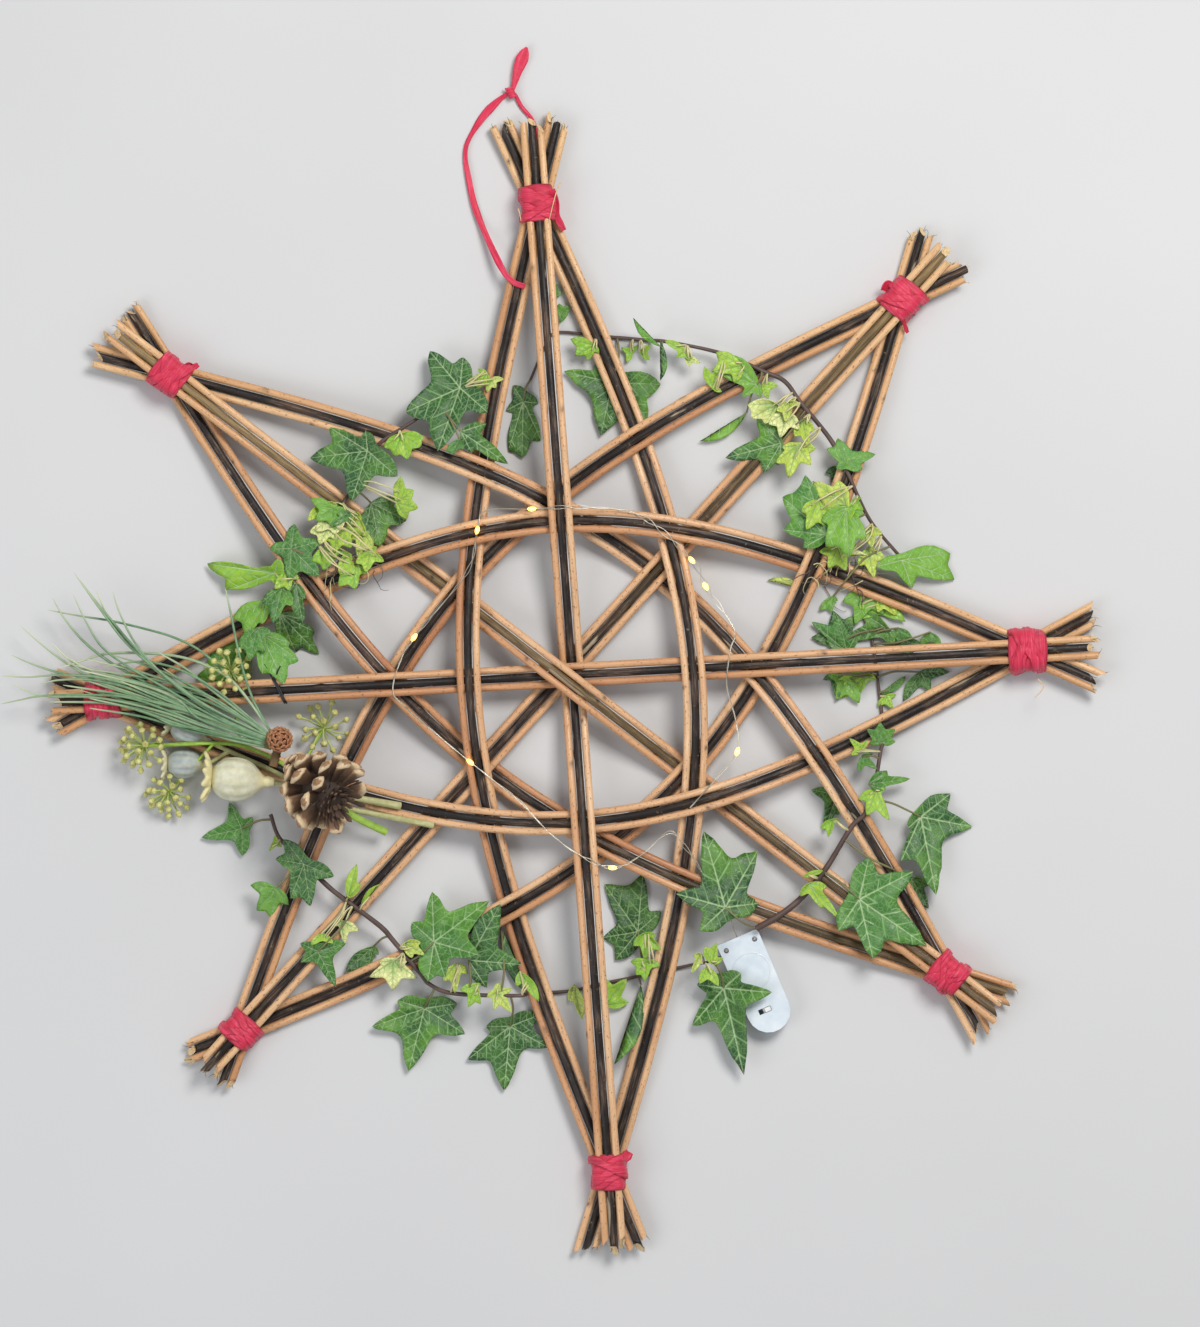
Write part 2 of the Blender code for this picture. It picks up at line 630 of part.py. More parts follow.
def binding_path(point, rods, bundles, lines):
    """Path and outward normals of raffia wound round the rods that cross at a point."""
    distance, bearing, _ = POINTS[point]
    turn = math.radians(bearing)
    axis = np.array([math.cos(turn), math.sin(turn)])
    side = np.array([-axis[1], axis[0]])
    held = []
    for rod, line in zip(rods, lines):
        ends = bundles[rod["bundle"]]["points"]
        if point in ends:
            part = line[:4] if ends[0] == point else line[-4:]
            out = part[:, :2] @ axis
            order = out.argsort()
            held.append((out[order], (part[:, :2] @ side)[order], part[order, 2], rod["radius"]))
    off = CLEARANCE + RAFFIA_EASE + RAFFIA_THICKNESS / 2
    path, normals = [], []
    turn_steps = len(RAFFIA_ANGLES)
    angles = [
        RAFFIA_ANGLES[k % turn_steps] + 360 * (k // turn_steps)
        for k in range(RAFFIA_FIRST, RAFFIA_FIRST + RAFFIA_STEPS + 1)
    ]
    for angle in angles:
        at = distance + (angle - (angles[0] + angles[-1]) / 2) / 360 * RAFFIA_PITCH
        a = math.radians(angle)
        face = np.array([math.sin(a), math.cos(a)])
        spots = []
        for out, aside, height, radius in held:
            slant = np.interp(at + RAFFIA_WIDTH, out, aside) - np.interp(at - RAFFIA_WIDTH, out, aside)
            spread = math.hypot(1.0, slant / (2 * RAFFIA_WIDTH)) - 1
            for shift in (-RAFFIA_WIDTH / 2, 0.0, RAFFIA_WIDTH / 2):
                spot = np.array([np.interp(at + shift, out, aside), np.interp(at + shift, out, height)])
                spots.append((spot, radius * (1 + spread * face[0] ** 2)))
        middle, radius = max(spots, key=lambda spot: spot[0] @ face + spot[1])
        where = middle + face * (radius + off)
        path.append(np.array([*(axis * at + side * where[0]), where[1]]))
        normals.append(np.array([*(side * face[0]), face[1]]))
    for end, inner in ((0, 1), (-1, -2)):
        straight = path[end] - path[inner]
        straight *= RAFFIA_WIDTH / np.linalg.norm(straight)
        tail = path[end] + straight + normals[end] * RAFFIA_THICKNESS
        path.insert(0 if end == 0 else len(path), tail)
        normals.insert(0 if end == 0 else len(normals), normals[end])
    return np.array(path), np.array(normals), np.array([*axis, 0.0])


def binding(point, path, normals, axis):
    """Loft of the raffia's flat section, which turns with the hull of the rods and is flat below."""
    bm = bmesh.new()
    rings = []
    for p, n in zip(path, normals):
        wide, thick = axis * RAFFIA_WIDTH / 2, n * RAFFIA_THICKNESS / 2
        corners = (p - wide - thick, p + wide - thick, p + wide + thick, p - wide + thick)
        rings.append([bm.verts.new((c[0], c[1], max(c[2], 0.0))) for c in corners])
    for a, b in zip(rings, rings[1:]):
        for k in range(4):
            bm.faces.new((a[k], b[k], b[(k + 1) % 4], a[(k + 1) % 4]))
    bm.faces.new(rings[0])
    bm.faces.new(reversed(rings[-1]))
    edges = [np.array([ring[k].co for ring in rings]) for k in (1, 0)]
    turn_steps = len(RAFFIA_ANGLES)
    gap = np.linalg.norm(edges[0][:-turn_steps] - edges[1][turn_steps:], axis=1).min()
    print(f"raffia_binding_{point}: least gap between turns {gap / MM:.2f} mm")
    return mesh_object(f"raffia_binding_{point}", bm)


# Battery case


def case_plan(u, v):
    turn = math.radians(CASE_BEARING)
    along = np.array([math.cos(turn), math.sin(turn)])
    return np.array(CASE_AT) + along * u + np.array([-along[1], along[0]]) * v


def case_outline(inset, steps=9):
    radius = CASE_WIDTH / 2 - inset
    centre = CASE_LENGTH - CASE_WIDTH / 2
    outline = [case_plan(inset, -radius)]
    for k in range(steps + 1):
        a = math.pi * (k / steps - 0.5)
        outline.append(case_plan(centre + radius * math.cos(a), radius * math.sin(a)))
    return outline + [case_plan(inset, radius)]


def case_block(name, u0, u1, v0, v1, low, high):
    bm = bmesh.new()
    middle = case_plan((u0 + u1) / 2, (v0 + v1) / 2)
    place = Matrix.Translation((*middle, (low + high) / 2))
    place @= Matrix.Rotation(math.radians(CASE_BEARING), 4, "Z")
    place @= Matrix.Diagonal((u1 - u0, v1 - v0, high - low, 1.0))
    bmesh.ops.create_cube(bm, size=1.0, matrix=place)
    return mesh_object(name, bm)


def case_drum(name, u, radius, low, high):
    bm = bmesh.new()
    place = Matrix.Translation((*case_plan(u, 0.0), (low + high) / 2))
    bmesh.ops.create_cone(
        bm, cap_ends=True, segments=20, radius1=radius, radius2=radius, depth=high - low, matrix=place
    )
    return mesh_object(name, bm)


def battery_case(pile):
    """Tray, cover, switch and two coin cells; returns the height of the wire's notch."""
    tray_top = CASE_FLOOR + 2 * CELL_THICKNESS + 3 * CLEARANCE
    cover_low = tray_top + CLEARANCE
    top = cover_low + COVER_THICKNESS
    notch = WIRE_DIAMETER + 2 * CLEARANCE
    hollow = plate("tray_hollow", case_outline(CASE_WALL), CASE_FLOOR, top)
    way_out = case_block(
        "tray_notch", -CASE_WALL, 2 * CASE_WALL, -notch / 2, notch / 2, tray_top - notch, top
    )
    piece("case_tray", "case", [plate("case_tray", case_outline(0.0), 0.0, tray_top)], [hollow, way_out])

    u0, u1 = SWITCH_FROM_END - SWITCH_BREADTH / 2, SWITCH_FROM_END + SWITCH_BREADTH / 2
    half = SWITCH_LENGTH / 2
    slot_end = half + CLEARANCE
    slot = case_block(
        "cover_slot", u0 - CLEARANCE, u1 + CLEARANCE, -slot_end - SWITCH_TRAVEL, slot_end, 0.0, 2 * top
    )
    piece("case_cover", "case", [plate("case_cover", case_outline(0.0), cover_low, top)], [slot])
    low = tray_top - SWITCH_FLANGE_THICKNESS
    rim = SWITCH_FLANGE
    flange = case_block("switch_slider", u0 - rim, u1 + rim, -half - rim, half + rim, low, tray_top)
    sunk = low + SWITCH_FLANGE_THICKNESS / 2
    knob = case_block("switch_knob", u0, u1, -half, half, sunk, top + SWITCH_RISE)
    piece("switch_slider", "case", [flange, knob], origin=(*case_plan(SWITCH_FROM_END, 0.0), tray_top))
    for n, name in enumerate(("coin_cell_lower", "coin_cell_upper")):
        under = CASE_FLOOR + CLEARANCE + n * (CELL_THICKNESS + CLEARANCE)
        drum = case_drum(name, CELL_FROM_END, CELL_DIAMETER / 2, under, under + CELL_THICKNESS)
        piece(name, "cell", [drum])

    for edge in (1.0 * MM, 2.0 * MM):
        balls = []
        for u in np.arange(edge, CASE_LENGTH, SAMPLE):
            for v in np.arange(-CASE_WIDTH / 2 + edge, CASE_WIDTH / 2, SAMPLE):
                if math.hypot(max(0.0, u - CASE_LENGTH + CASE_WIDTH / 2), v) < CASE_WIDTH / 2 - edge * 0.9:
                    balls.append([*case_plan(u, v), top - edge])
        pile.add("case", balls, edge)
    for v in np.linspace(-half - SWITCH_TRAVEL, half, 6):
        pile.add("case", [*case_plan(SWITCH_FROM_END, v), top], SWITCH_BREADTH / 2)
    return tray_top - notch / 2


def light_string(pile, notch_z):
    route = [tuple(case_plan(-4 * MM, 0.0) / MM)] + list(WIRE_ROUTE)
    radius = WIRE_DIAMETER / 2
    wire = draped(pile, route, radius, 0.15, ("case",), (notch_z, None), 0.4 * MM)
    wire = np.vstack([[*case_plan(CASE_WALL / 2, 0.0), notch_z], wire])
    solids = [tube("light_string", wire, radius)]
    for n, place in enumerate(LED_PLACES):
        near = ((wire[:, :2] - np.array(place) * MM) ** 2).sum(axis=1).argmin()
        spot = wire[near].copy()
        heading = wire[near + 1] - wire[near - 1]
        heading[2] = 0.0
        rest = float(pile.above(spot[None, :2], LED_DIAMETER / 2)[0])
        spot[2] = min(max(spot[2], rest), spot[2] + LED_DIAMETER / 2)
        solids.append(ball(f"led_{n}", spot, LED_DIAMETER / 2, heading, 6, 4, LED_LENGTH / LED_DIAMETER))
        pile.add("wire", spot, LED_LENGTH / 2)
    pile.add("wire", spaced(wire, SAMPLE), radius)
    piece("light_string", "wire", solids)


def hanging_loop(pile):
    route = [p + (UNDER if n < 4 else OVER,) for n, p in enumerate(LOOP_ROUTE)]
    line = draped(pile, route, LOOP_WIDTH / 2, 0.3)
    line[:, 2] -= (LOOP_WIDTH - LOOP_THICKNESS) / 2 * 0.8
    knot = line[((line[:, :2] - np.array(LOOP_TAIL[0]) * MM) ** 2).sum(axis=1).argmin()]
    squash = 0.6
    middle = (knot[0], knot[1], LOOP_KNOT * squash + CLEARANCE)
    lump = ball("loop_knot", middle, LOOP_KNOT, segments=8, stretch=squash)
    tail = [(x * MM, y * MM, knot[2]) for x, y in LOOP_TAIL]
    strip = tape("hanging_loop", line, LOOP_WIDTH, LOOP_THICKNESS)
    end = tape("loop_tail", tail, np.array(LOOP_TAIL_WIDTHS) * MM, LOOP_THICKNESS)
    piece("hanging_loop", "raffia", [strip, lump, end])
    pile.add("loop", spaced(line, SAMPLE), LOOP_WIDTH / 2)


# Ivy


def leaf_outline(length, breadth):
    half = [(x * breadth * length / 2, y * length) for x, y in LEAF_HALF]
    return [(0.0, 0.0)] + half + [(0.0, length)] + [(-x, y) for x, y in reversed(half)]


def leaf_samples(length, breadth, step=1.2 * MM):
    """Points over the leaf's outline and blade, across and ahead of its base."""
    half = leaf_outline(length, breadth)[: len(LEAF_HALF) + 2]
    found = []
    for (x0, y0), (x1, y1) in zip(half, half[1:]):
        for share in np.linspace(0, 1, max(2, math.ceil(math.hypot(x1 - x0, y1 - y0) / step))):
            x, y = x0 + (x1 - x0) * share, y0 + (y1 - y0) * share
            inward = max(1, math.ceil(x / step))
            found += [(x * k / inward * sign, y) for k in range(inward + 1) for sign in (1, -1)]
    return np.array(found)


def leaf_rest(pile, plan, local, level):
    """Height, rise along and rise across of a flat leaf that rests on what lies below it."""
    if level == UNDER:
        return LEAF_THICKNESS / 2 + CLEARANCE, 0.0, 0.0
    lowest = STALK_DIAMETER / 2 + CLEARANCE / 2
    need = np.maximum(pile.above(plan, LEAF_THICKNESS / 2 + CLEARANCE / 3), lowest)
    best = None
    for pitch in np.linspace(-0.45, 0.45, 13):
        for roll in np.linspace(-0.4, 0.4, 9):
            tilt = pitch * local[:, 1] + roll * local[:, 0]
            lift = (need - tilt).max()
            if best is None or (lift + tilt).mean() < best[0]:
                best = ((lift + tilt).mean(), lift, pitch, roll)
    return best[1:]


def leaf(pile, owner, name, base, tip, breadth, level):
    length = np.linalg.norm(tip - base)
    ahead = (tip - base) / length
    across_leaf = np.array([-ahead[1], ahead[0]])
    local = leaf_samples(length, breadth)
    plan = base + local[:, :1] * across_leaf + local[:, 1:] * ahead
    lift, pitch, roll = leaf_rest(pile, plan, local, level)
    obj = plate(name, leaf_outline(length, breadth), -LEAF_THICKNESS / 2, LEAF_THICKNESS / 2)
    columns = ((*across_leaf, roll), (*ahead, pitch), (0.0, 0.0, 1.0))
    lean = Matrix(columns).transposed().to_4x4()
    heights = lift + pitch * local[:, 1] + roll * local[:, 0]
    join = np.array([*(base + ahead * LEAF_JOIN), lift + pitch * LEAF_JOIN])
    return obj, Matrix.Translation((*base, lift)) @ lean, np.column_stack([plan, heights]), join


def ivy_trail(pile, name, stem_route, leaves):
    owner = f"ivy_trail_{name}"
    radius = STEM_DIAMETER / 2
    stem = draped(pile, stem_route, radius, 0.2, within=0.35 * MM)
    solids = [tube(owner, stem, radius)]
    fine = spaced(stem, SAMPLE)
    pile.add(owner, fine, radius)
    thin = STALK_DIAMETER / 2
    for n, (x0, y0, x1, y1, breadth, level) in enumerate(leaves):
        base, tip = np.array([x0, y0]) * MM, np.array([x1, y1]) * MM
        blade, place, samples, join = leaf(pile, owner, f"{name}_leaf_{n}", base, tip, breadth, level)
        solids.append((blade, place))
        root = fine[((fine[:, :2] - base) ** 2).sum(axis=1).argmin()]
        stalk = spaced(np.array([root, [*base, place.translation.z], join]), SAMPLE)
        inner = stalk[1:-1]
        if level == OVER:
            inner[:, 2] = np.maximum(inner[:, 2], pile.above(inner[:, :2], thin + CLEARANCE, (owner,)))
        else:
            inner[:, 2] = np.minimum(inner[:, 2], pile.below(inner[:, :2], thin, (owner,)))
            inner[:, 2] = np.maximum(inner[:, 2], thin + CLEARANCE / 2)
        solids.append(tube(f"{name}_stalk_{n}", eased(thinned(stalk, 0.25 * MM), 4 * thin), thin))
        pile.add(owner, samples, LEAF_THICKNESS / 2)
        pile.add(owner, stalk, thin)
    piece(owner, "ivy", solids)


# Posy


def seat(pile, plan, radii, rises=0.0):
    """Lowest height of a group of balls whose own rises are given."""
    rises = np.broadcast_to(rises, len(plan))
    return max(float(pile.above(p[None], r)[0]) - d for p, r, d in zip(plan, radii, rises))


def poppy_head(name, centre, axis, radius, length):
    """Seed head with its cap, waist and neck; the axis runs from the cap to the stalk."""
    h = length / 2
    profile = (
        (-1.20, 0.0), (-1.20, 0.80), (-1.10, 0.92), (-1.02, 0.36), (-0.86, 0.55), (-0.45, 0.92),
        (0.05, 1.0), (0.55, 0.84), (0.90, 0.42), (1.15, 0.22), (1.15, 0.0),
    )
    return turned(name, [(along * h, r * radius) for along, r in profile], centre, axis, 10)


def head_balls(plan, heading, radius, length):
    """Balls that stand for a head: plan places, rises from its axis and radii."""
    h = length / 2
    side = np.array([-heading[1], heading[0]])
    girths = ((-0.75, 0.62), (-0.45, 0.9), (-0.2, 0.97), (0.05, 1.0), (0.4, 0.88), (0.7, 0.62), (1.0, 0.35))
    spots = [(plan + heading * along * h, 0.0, r * radius) for along, r in girths]
    for k in range(12):
        a = 2 * math.pi * k / 12
        rim = 0.82 * radius
        spot = plan - heading * 1.12 * h + side * rim * math.cos(a)
        spots.append((spot, rim * math.sin(a), 0.14 * radius))
    places, rises, radii = zip(*spots)
    return np.array(places), np.array(rises), np.array(radii)


def poppy(pile, owner, name, route, radius, length, stalk, end_z=None):
    """One head at the start of its route, with the stalk that leaves it."""
    route = np.array(route, float)
    heading = (route[1] - route[0]) / np.linalg.norm(route[1] - route[0])
    plan, rises, radii = head_balls(route[0] * MM, heading, radius, length)
    z = seat(pile, plan, radii, rises)
    neck = route[0] + heading * length * 0.5 / MM
    way = [tuple(neck)] + [tuple(p) for p in route[1:] if (p - neck) @ heading > 2]
    line = draped(pile, way, stalk / 2, 0.25, (owner,), (z, end_z), 0.25 * MM)
    head = poppy_head(name, (*(route[0] * MM), z), (*heading, 0.0), radius, length)
    pile.add(owner, np.column_stack([plan, z + rises]), radii)
    pile.add(owner, spaced(line, SAMPLE), stalk / 2)
    return [head, tube(f"{name}_stalk", line, stalk / 2)], line


def poppies(pile):
    owner = "poppy_pair"
    solids, line = poppy(pile, owner, owner, PAIR_ROUTE, PAIR_RADII[1], PAIR_LENGTH, PAIR_STALK)
    fine = spaced(line, SAMPLE)
    join = fine[((fine[:, :2] - np.array(PAIR_BRANCH[-1]) * MM) ** 2).sum(axis=1).argmin()]
    route = PAIR_BRANCH[:-1] + (tuple(join[:2] / MM),)
    more, _ = poppy(pile, owner, "poppy_second", route, PAIR_RADII[0], PAIR_LENGTH, PAIR_STALK, join[2])
    piece(owner, "poppy_grey", solids + more)
    owner = "poppy_large"
    solids, _ = poppy(pile, owner, owner, POPPY_ROUTE, POPPY_RADIUS, POPPY_LENGTH, POPPY_STALK)
    piece(owner, "poppy", solids)


def umbel(pile, owner, name, hub, facing, spread):
    """Buds on stalks that spread from one point, within a cone about the way the umbel faces."""
    hub = np.array(hub) * MM
    facing = np.array(facing) / np.linalg.norm(facing)
    side = np.cross(facing, (0.0, 1.0, 0.0))
    side /= np.linalg.norm(side)
    other = np.cross(facing, side)
    spots = []
    for k in range(UMBEL_BUDS):
        lean = math.acos(1 - (1 - math.cos(math.radians(spread))) * (k + 0.5) / UMBEL_BUDS)
        a = GOLDEN_ANGLE * k
        spots.append(facing * math.cos(lean) + (side * math.cos(a) + other * math.sin(a)) * math.sin(lean))
    spots = np.array(spots) * UMBEL_RADIUS
    radius, stalk = BUD_DIAMETER / 2, BUD_STALK / 2
    plan = np.vstack([hub + spots[:, :2], hub + spots[:, :2] * 0.7, hub + spots[:, :2] * 0.4, hub[None]])
    rises = np.concatenate([spots[:, 2], spots[:, 2] * 0.7, spots[:, 2] * 0.4, [0.0]])
    radii = np.concatenate([np.full(len(spots), radius), np.full(2 * len(spots), 2 * stalk), [UMBEL_HUB]])
    z = seat(pile, plan, radii, rises)
    middle = np.array([*hub, z])
    solids = [ball(name, middle, UMBEL_HUB)]
    for n, spot in enumerate(spots):
        ahead = spot / UMBEL_RADIUS
        line = [middle, middle + spot - ahead * radius, middle + spot, middle + spot + ahead * radius]
        solids.append(tube(f"{name}_bud_{n}", line, (stalk, stalk, radius, radius * 0.3)))
    pile.add(owner, np.column_stack([plan, z + rises]), radii)
    return solids, z


def ivy_flowers(pile):
    owner = "ivy_flowers"
    solids, hub_z = umbel(pile, owner, "umbel_0", *UMBELS[0][:3])
    stem = draped(pile, FLOWER_ROUTE, FLOWER_STEM / 2, 0.3, (owner,), (hub_z, None), 0.25 * MM)
    solids.insert(0, tube(owner, stem, FLOWER_STEM / 2))
    fine = spaced(stem, SAMPLE)
    pile.add(owner, fine, FLOWER_STEM / 2)
    thin = FLOWER_BRANCH / 2
    for n, (hub, facing, spread, fork) in enumerate(UMBELS[1:], 1):
        more, hub_z = umbel(pile, owner, f"umbel_{n}", hub, facing, spread)
        root = fine[((fine[:, :2] - np.array(fork) * MM) ** 2).sum(axis=1).argmin()]
        way = [tuple(root[:2] / MM), hub]
        branch = draped(pile, way, thin, 0.4, (owner,), (root[2], hub_z), 0.25 * MM)
        solids += more + [tube(f"umbel_branch_{n}", branch, thin)]
        pile.add(owner, spaced(branch, SAMPLE), thin)
    piece(owner, "bud", solids)


def needle_plans(bases):
    """Plan routes of the needles, in the order of their bearings, from the bases to the tips."""
    root = np.array(NEEDLE_ROOT, float)
    tips = sorted(NEEDLE_TIPS, key=lambda t: math.atan2(t[1] - root[1], root[0] - t[0]))
    plans = []
    for n, tip in enumerate(tips):
        place = n / (len(tips) - 1)
        start = bases[0, :2] + (bases[-1, :2] - bases[0, :2]) * place
        waist = (np.array(NEEDLE_WAIST) + np.array([0.0, NEEDLE_WAIST_WIDTH * (place - 0.5)])) * MM
        end = np.array(tip) * MM
        t = np.linspace(0, 1, 5)[:, None]
        plans.append((1 - t) ** 2 * start + 2 * t * (1 - t) * waist + t * t * end)
    return np.array(plans)


def needle_lines(pile, bases, radius):
    """Stiff needles that fall evenly from a level root as far as what lies below lets them."""
    plans = needle_plans(bases)
    found = []
    for plan in plans:
        fine = spaced(plan, SAMPLE)
        run = np.concatenate([[0], np.cumsum(np.linalg.norm(np.diff(fine, axis=0), axis=1))])
        found.append((run, pile.above(fine, radius)))
    root_z = max((need - NEEDLE_RISE * run).max() for run, need in found)
    lines = []
    for plan, (run, need) in zip(plans, found):
        free = run > 3 * TWIG_DIAMETER
        fall = ((need[free] - root_z) / run[free]).max()
        at = np.concatenate([[0], np.cumsum(np.linalg.norm(np.diff(plan, axis=0), axis=1))])
        lines.append(np.column_stack([plan, root_z + fall * at]))
    return lines, root_z


def pine_sprig(pile):
    turn = math.radians(TWIG_BEARING)
    along = np.array([math.cos(turn), math.sin(turn), 0.0])
    twig = np.array([*(np.array(NEEDLE_ROOT) * MM), 0.0]) + np.outer((-0.5, 0.0, 0.5), along) * TWIG_LENGTH
    needle = NEEDLE_DIAMETER / 2
    lines, root_z = needle_lines(pile, twig, needle)
    twig[:, 2] = root_z
    longer = twig + np.outer((-1, 0, 1), along) * TWIG_DIAMETER
    solids = [tube("pine_sprig", longer, TWIG_DIAMETER / 2, 1)]
    young = YOUNG_CONE_DIAMETER / 2
    perch = twig[1] + np.array([0.0, 0.0, TWIG_DIAMETER / 2 + young * 0.7])
    solids.append(ball("young_cone", perch, young, segments=8, rings=5))
    for n, line in enumerate(lines):
        solids.append(tube(f"needle_{n}", line, np.linspace(1.0, 0.6, len(line)) * needle))
        pile.add("pine_sprig", spaced(line, SAMPLE), needle)
    pile.add("pine_sprig", spaced(longer, SAMPLE), TWIG_DIAMETER / 2)
    pile.add("pine_sprig", perch, young)
    piece("pine_sprig", "needle", solids)


def cone_scale(n, frame):
    """One scale of the cone: a blunt wedge that widens outwards to a point."""
    share = (n + 0.5) / CONE_SCALES
    bulge = math.sin(math.pi * min(0.95, share + 0.22)) ** 1.2
    reach = CONE_RADIUS * (0.62 + 0.52 * bulge) * (1.02 - 0.42 * share)
    lift = math.radians(-14 + 78 * share)
    bm = bmesh.new()
    made = bmesh.ops.create_cone(
        bm, cap_ends=True, segments=4, radius1=0.4 * math.sqrt(2), radius2=math.sqrt(2), depth=1.0
    )
    bmesh.ops.rotate(bm, verts=made["verts"], matrix=Matrix.Rotation(math.pi / 4, 3, "Z"))
    bmesh.ops.translate(bm, verts=made["verts"], vec=(0.0, 0.0, 0.5))
    outer = max(bm.faces, key=lambda face: face.calc_center_median().z)
    bmesh.ops.poke(bm, faces=[outer], offset=0.14)
    size = (CONE_RADIUS * (0.30 - 0.13 * share), CONE_RADIUS * (0.115 - 0.035 * share), reach)
    place = frame @ Matrix.Rotation(GOLDEN_ANGLE * n, 4, "Z")
    place @= Matrix.Translation((0.0, 0.0, CONE_LENGTH * (0.10 + 0.66 * share)))
    place @= Matrix.Rotation(-(math.pi / 2 - lift), 4, "X")
    bm.transform(place @ Matrix.Diagonal((*size, 1.0)))
    return mesh_object(f"cone_scale_{n}", bm)


def pine_cone(pile):
    """Open cone, base upwards: a core and a spiral of scales, lowered onto what lies below."""
    frame = towards(CONE_AXIS)
    scales = [cone_scale(n, frame) for n in range(CONE_SCALES)]
    edges = []
    for obj in scales:
        corners = [np.array(v.co) for v in obj.data.vertices]
        edges += [spaced([corners[k] for k in edge.vertices], 1.6 * MM) for edge in obj.data.edges]
    spots = np.concatenate(edges)
    middle = (spots.min(axis=0) + spots.max(axis=0)) / 2
    spots = spots - middle
    z = float((pile.above(spots[:, :2] + np.array(CONE_AT) * MM, CLEARANCE / 3) - spots[:, 2]).max())
    shift = np.array([*(np.array(CONE_AT) * MM), z]) - middle
    profile = ((0.0, 0.0), (0.02, 0.42), (0.4, 0.40), (0.8, 0.26), (0.96, 0.0))
    core = turned(
        "pine_cone", [(h * CONE_LENGTH, r * CONE_RADIUS) for h, r in profile], shift, frame.col[2][:3], 8
    )
    for obj in scales:
        obj.location = shift
    piece("pine_cone", "cone", [core] + scales)


# Assembly


def build_pieces():
    pile = Pile()
    bundles = make_bundles()
    rods = make_rods(bundles)
    heights = solve_heights(bundles, rods)
    lines = [rod_line(rod, n, heights) for n, rod in enumerate(rods)]
    for rod, line in zip(rods, lines):
        bundle = bundles[rod["bundle"]]
        name = f"rod_{bundle['vesica']}_{bundle['member']}_{'abc'[rod['place']]}"
        piece(name, "dark" if rod["place"] == 1 else "buff", [tube(name, line, rod["radius"], 1)])
        pile.add("rods", spaced(line, SAMPLE), rod["radius"])
    for point in POINTS:
        path, normals, axis = binding_path(point, rods, bundles, lines)
        piece(f"raffia_binding_{point}", "raffia", [binding(point, path, normals, axis)])
        for share in (-1 / 3, 0, 1 / 3):
            pile.add("bindings", spaced(path + axis * RAFFIA_WIDTH * share, SAMPLE), RAFFIA_THICKNESS * 0.9)
    hanging_loop(pile)
    light_string(pile, battery_case(pile))
    poppies(pile)
    ivy_flowers(pile)
    for name, (stem_route, leaves) in IVY.items():
        ivy_trail(pile, name, stem_route, leaves)
    pine_sprig(pile)
    pine_cone(pile)


def closed_mesh(obj, place, graph):
    """The evaluated object as one closed mesh in the star's frame."""
    mesh = bpy.data.meshes.new_from_object(obj.evaluated_get(graph))
    mesh.transform(place)
    bm = bmesh.new()
    bm.from_mesh(mesh)
    bmesh.ops.remove_doubles(bm, verts=bm.verts, dist=0.000002)
    bmesh.ops.recalc_face_normals(bm, faces=bm.faces)
    bmesh.ops.triangulate(bm, faces=bm.faces)
    bm.to_mesh(mesh)
    bm.free()
    mesh.shade_smooth()
    mesh.set_sharp_from_angle(angle=math.radians(40))
    return mesh


def boolean(obj, meshes, operation, solver):
    group = bpy.data.collections.new(f"{obj.name}_{operation.lower()}")
    HELPERS.children.link(group)
    for n, mesh in enumerate(meshes):
        helper = bpy.data.objects.new(f"{group.name}_{n}", mesh)
        helper.hide_render = True
        helper.display_type = "WIRE"
        helper.parent = STAR
        group.objects.link(helper)
    modifier = obj.modifiers.new(operation.title(), "BOOLEAN")
    modifier.operation = operation
    modifier.solver = solver
    modifier.operand_type = "COLLECTION"
    modifier.collection = group


def assemble():
    bpy.context.view_layer.update()
    graph = bpy.context.evaluated_depsgraph_get()
    ready = []
    for name, look, solids, cuts, origin in pieces:
        placed = [s if isinstance(s, tuple) else (s, s.matrix_world.copy()) for s in solids + cuts]
        meshes = [closed_mesh(obj, place, graph) for obj, place in placed]
        ready.append((name, look, meshes[: len(solids)], meshes[len(solids):], origin))
    corners = []
    for name, _, meshes, _, _ in ready:
        if name not in CORDS:
            corners += [vertex.co for mesh in meshes for vertex in mesh.vertices]
    corners = np.array(corners)
    middle = (corners.min(axis=0) + corners.max(axis=0)) / 2
    STAR.location = (-middle[0], -middle[1], 0.0)
    print(f"hub at {-middle[0]:.5f} {-middle[1]:.5f}, lowest point {corners[:, 2].min() / MM:.3f} mm")
    for obj in list(PARTS.objects):
        if obj is not STAR:
            bpy.data.objects.remove(obj)
    for name, colour, meshes, cuts, origin in ready:
        look = bpy.data.materials.new(name)
        look.use_nodes = True
        shader = look.node_tree.nodes["Principled BSDF"]
        tint, roughness, metallic = LOOKS[colour]
        shader.inputs["Base Color"].default_value = (*tint, 1.0)
        shader.inputs["Roughness"].default_value = roughness
        shader.inputs["Metallic"].default_value = metallic
        for mesh in meshes + cuts:
            mesh.materials.clear()
            mesh.materials.append(look)
        obj = bpy.data.objects.new(name, meshes[0])
        PARTS.objects.link(obj)
        obj.parent = STAR
        if origin:
            meshes[0].transform(Matrix.Translation(-Vector(origin)))
            obj.location = origin
        if len(meshes) > 1:
            boolean(obj, meshes[1:], "UNION", "EXACT")
        if cuts:
            boolean(obj, cuts, "DIFFERENCE", "EXACT")


for old in list(bpy.data.objects):
    bpy.data.objects.remove(old)
PARTS = bpy.data.collections.new("willow_star")
HELPERS = bpy.data.collections.new("helpers")
bpy.context.scene.collection.children.link(PARTS)
bpy.context.scene.collection.children.link(HELPERS)
STAR = bpy.data.objects.new("star", None)
PARTS.objects.link(STAR)
build_pieces()
assemble()
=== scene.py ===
"""Looks of the woven willow star: rods, raffia, ivy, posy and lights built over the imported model."""

import math

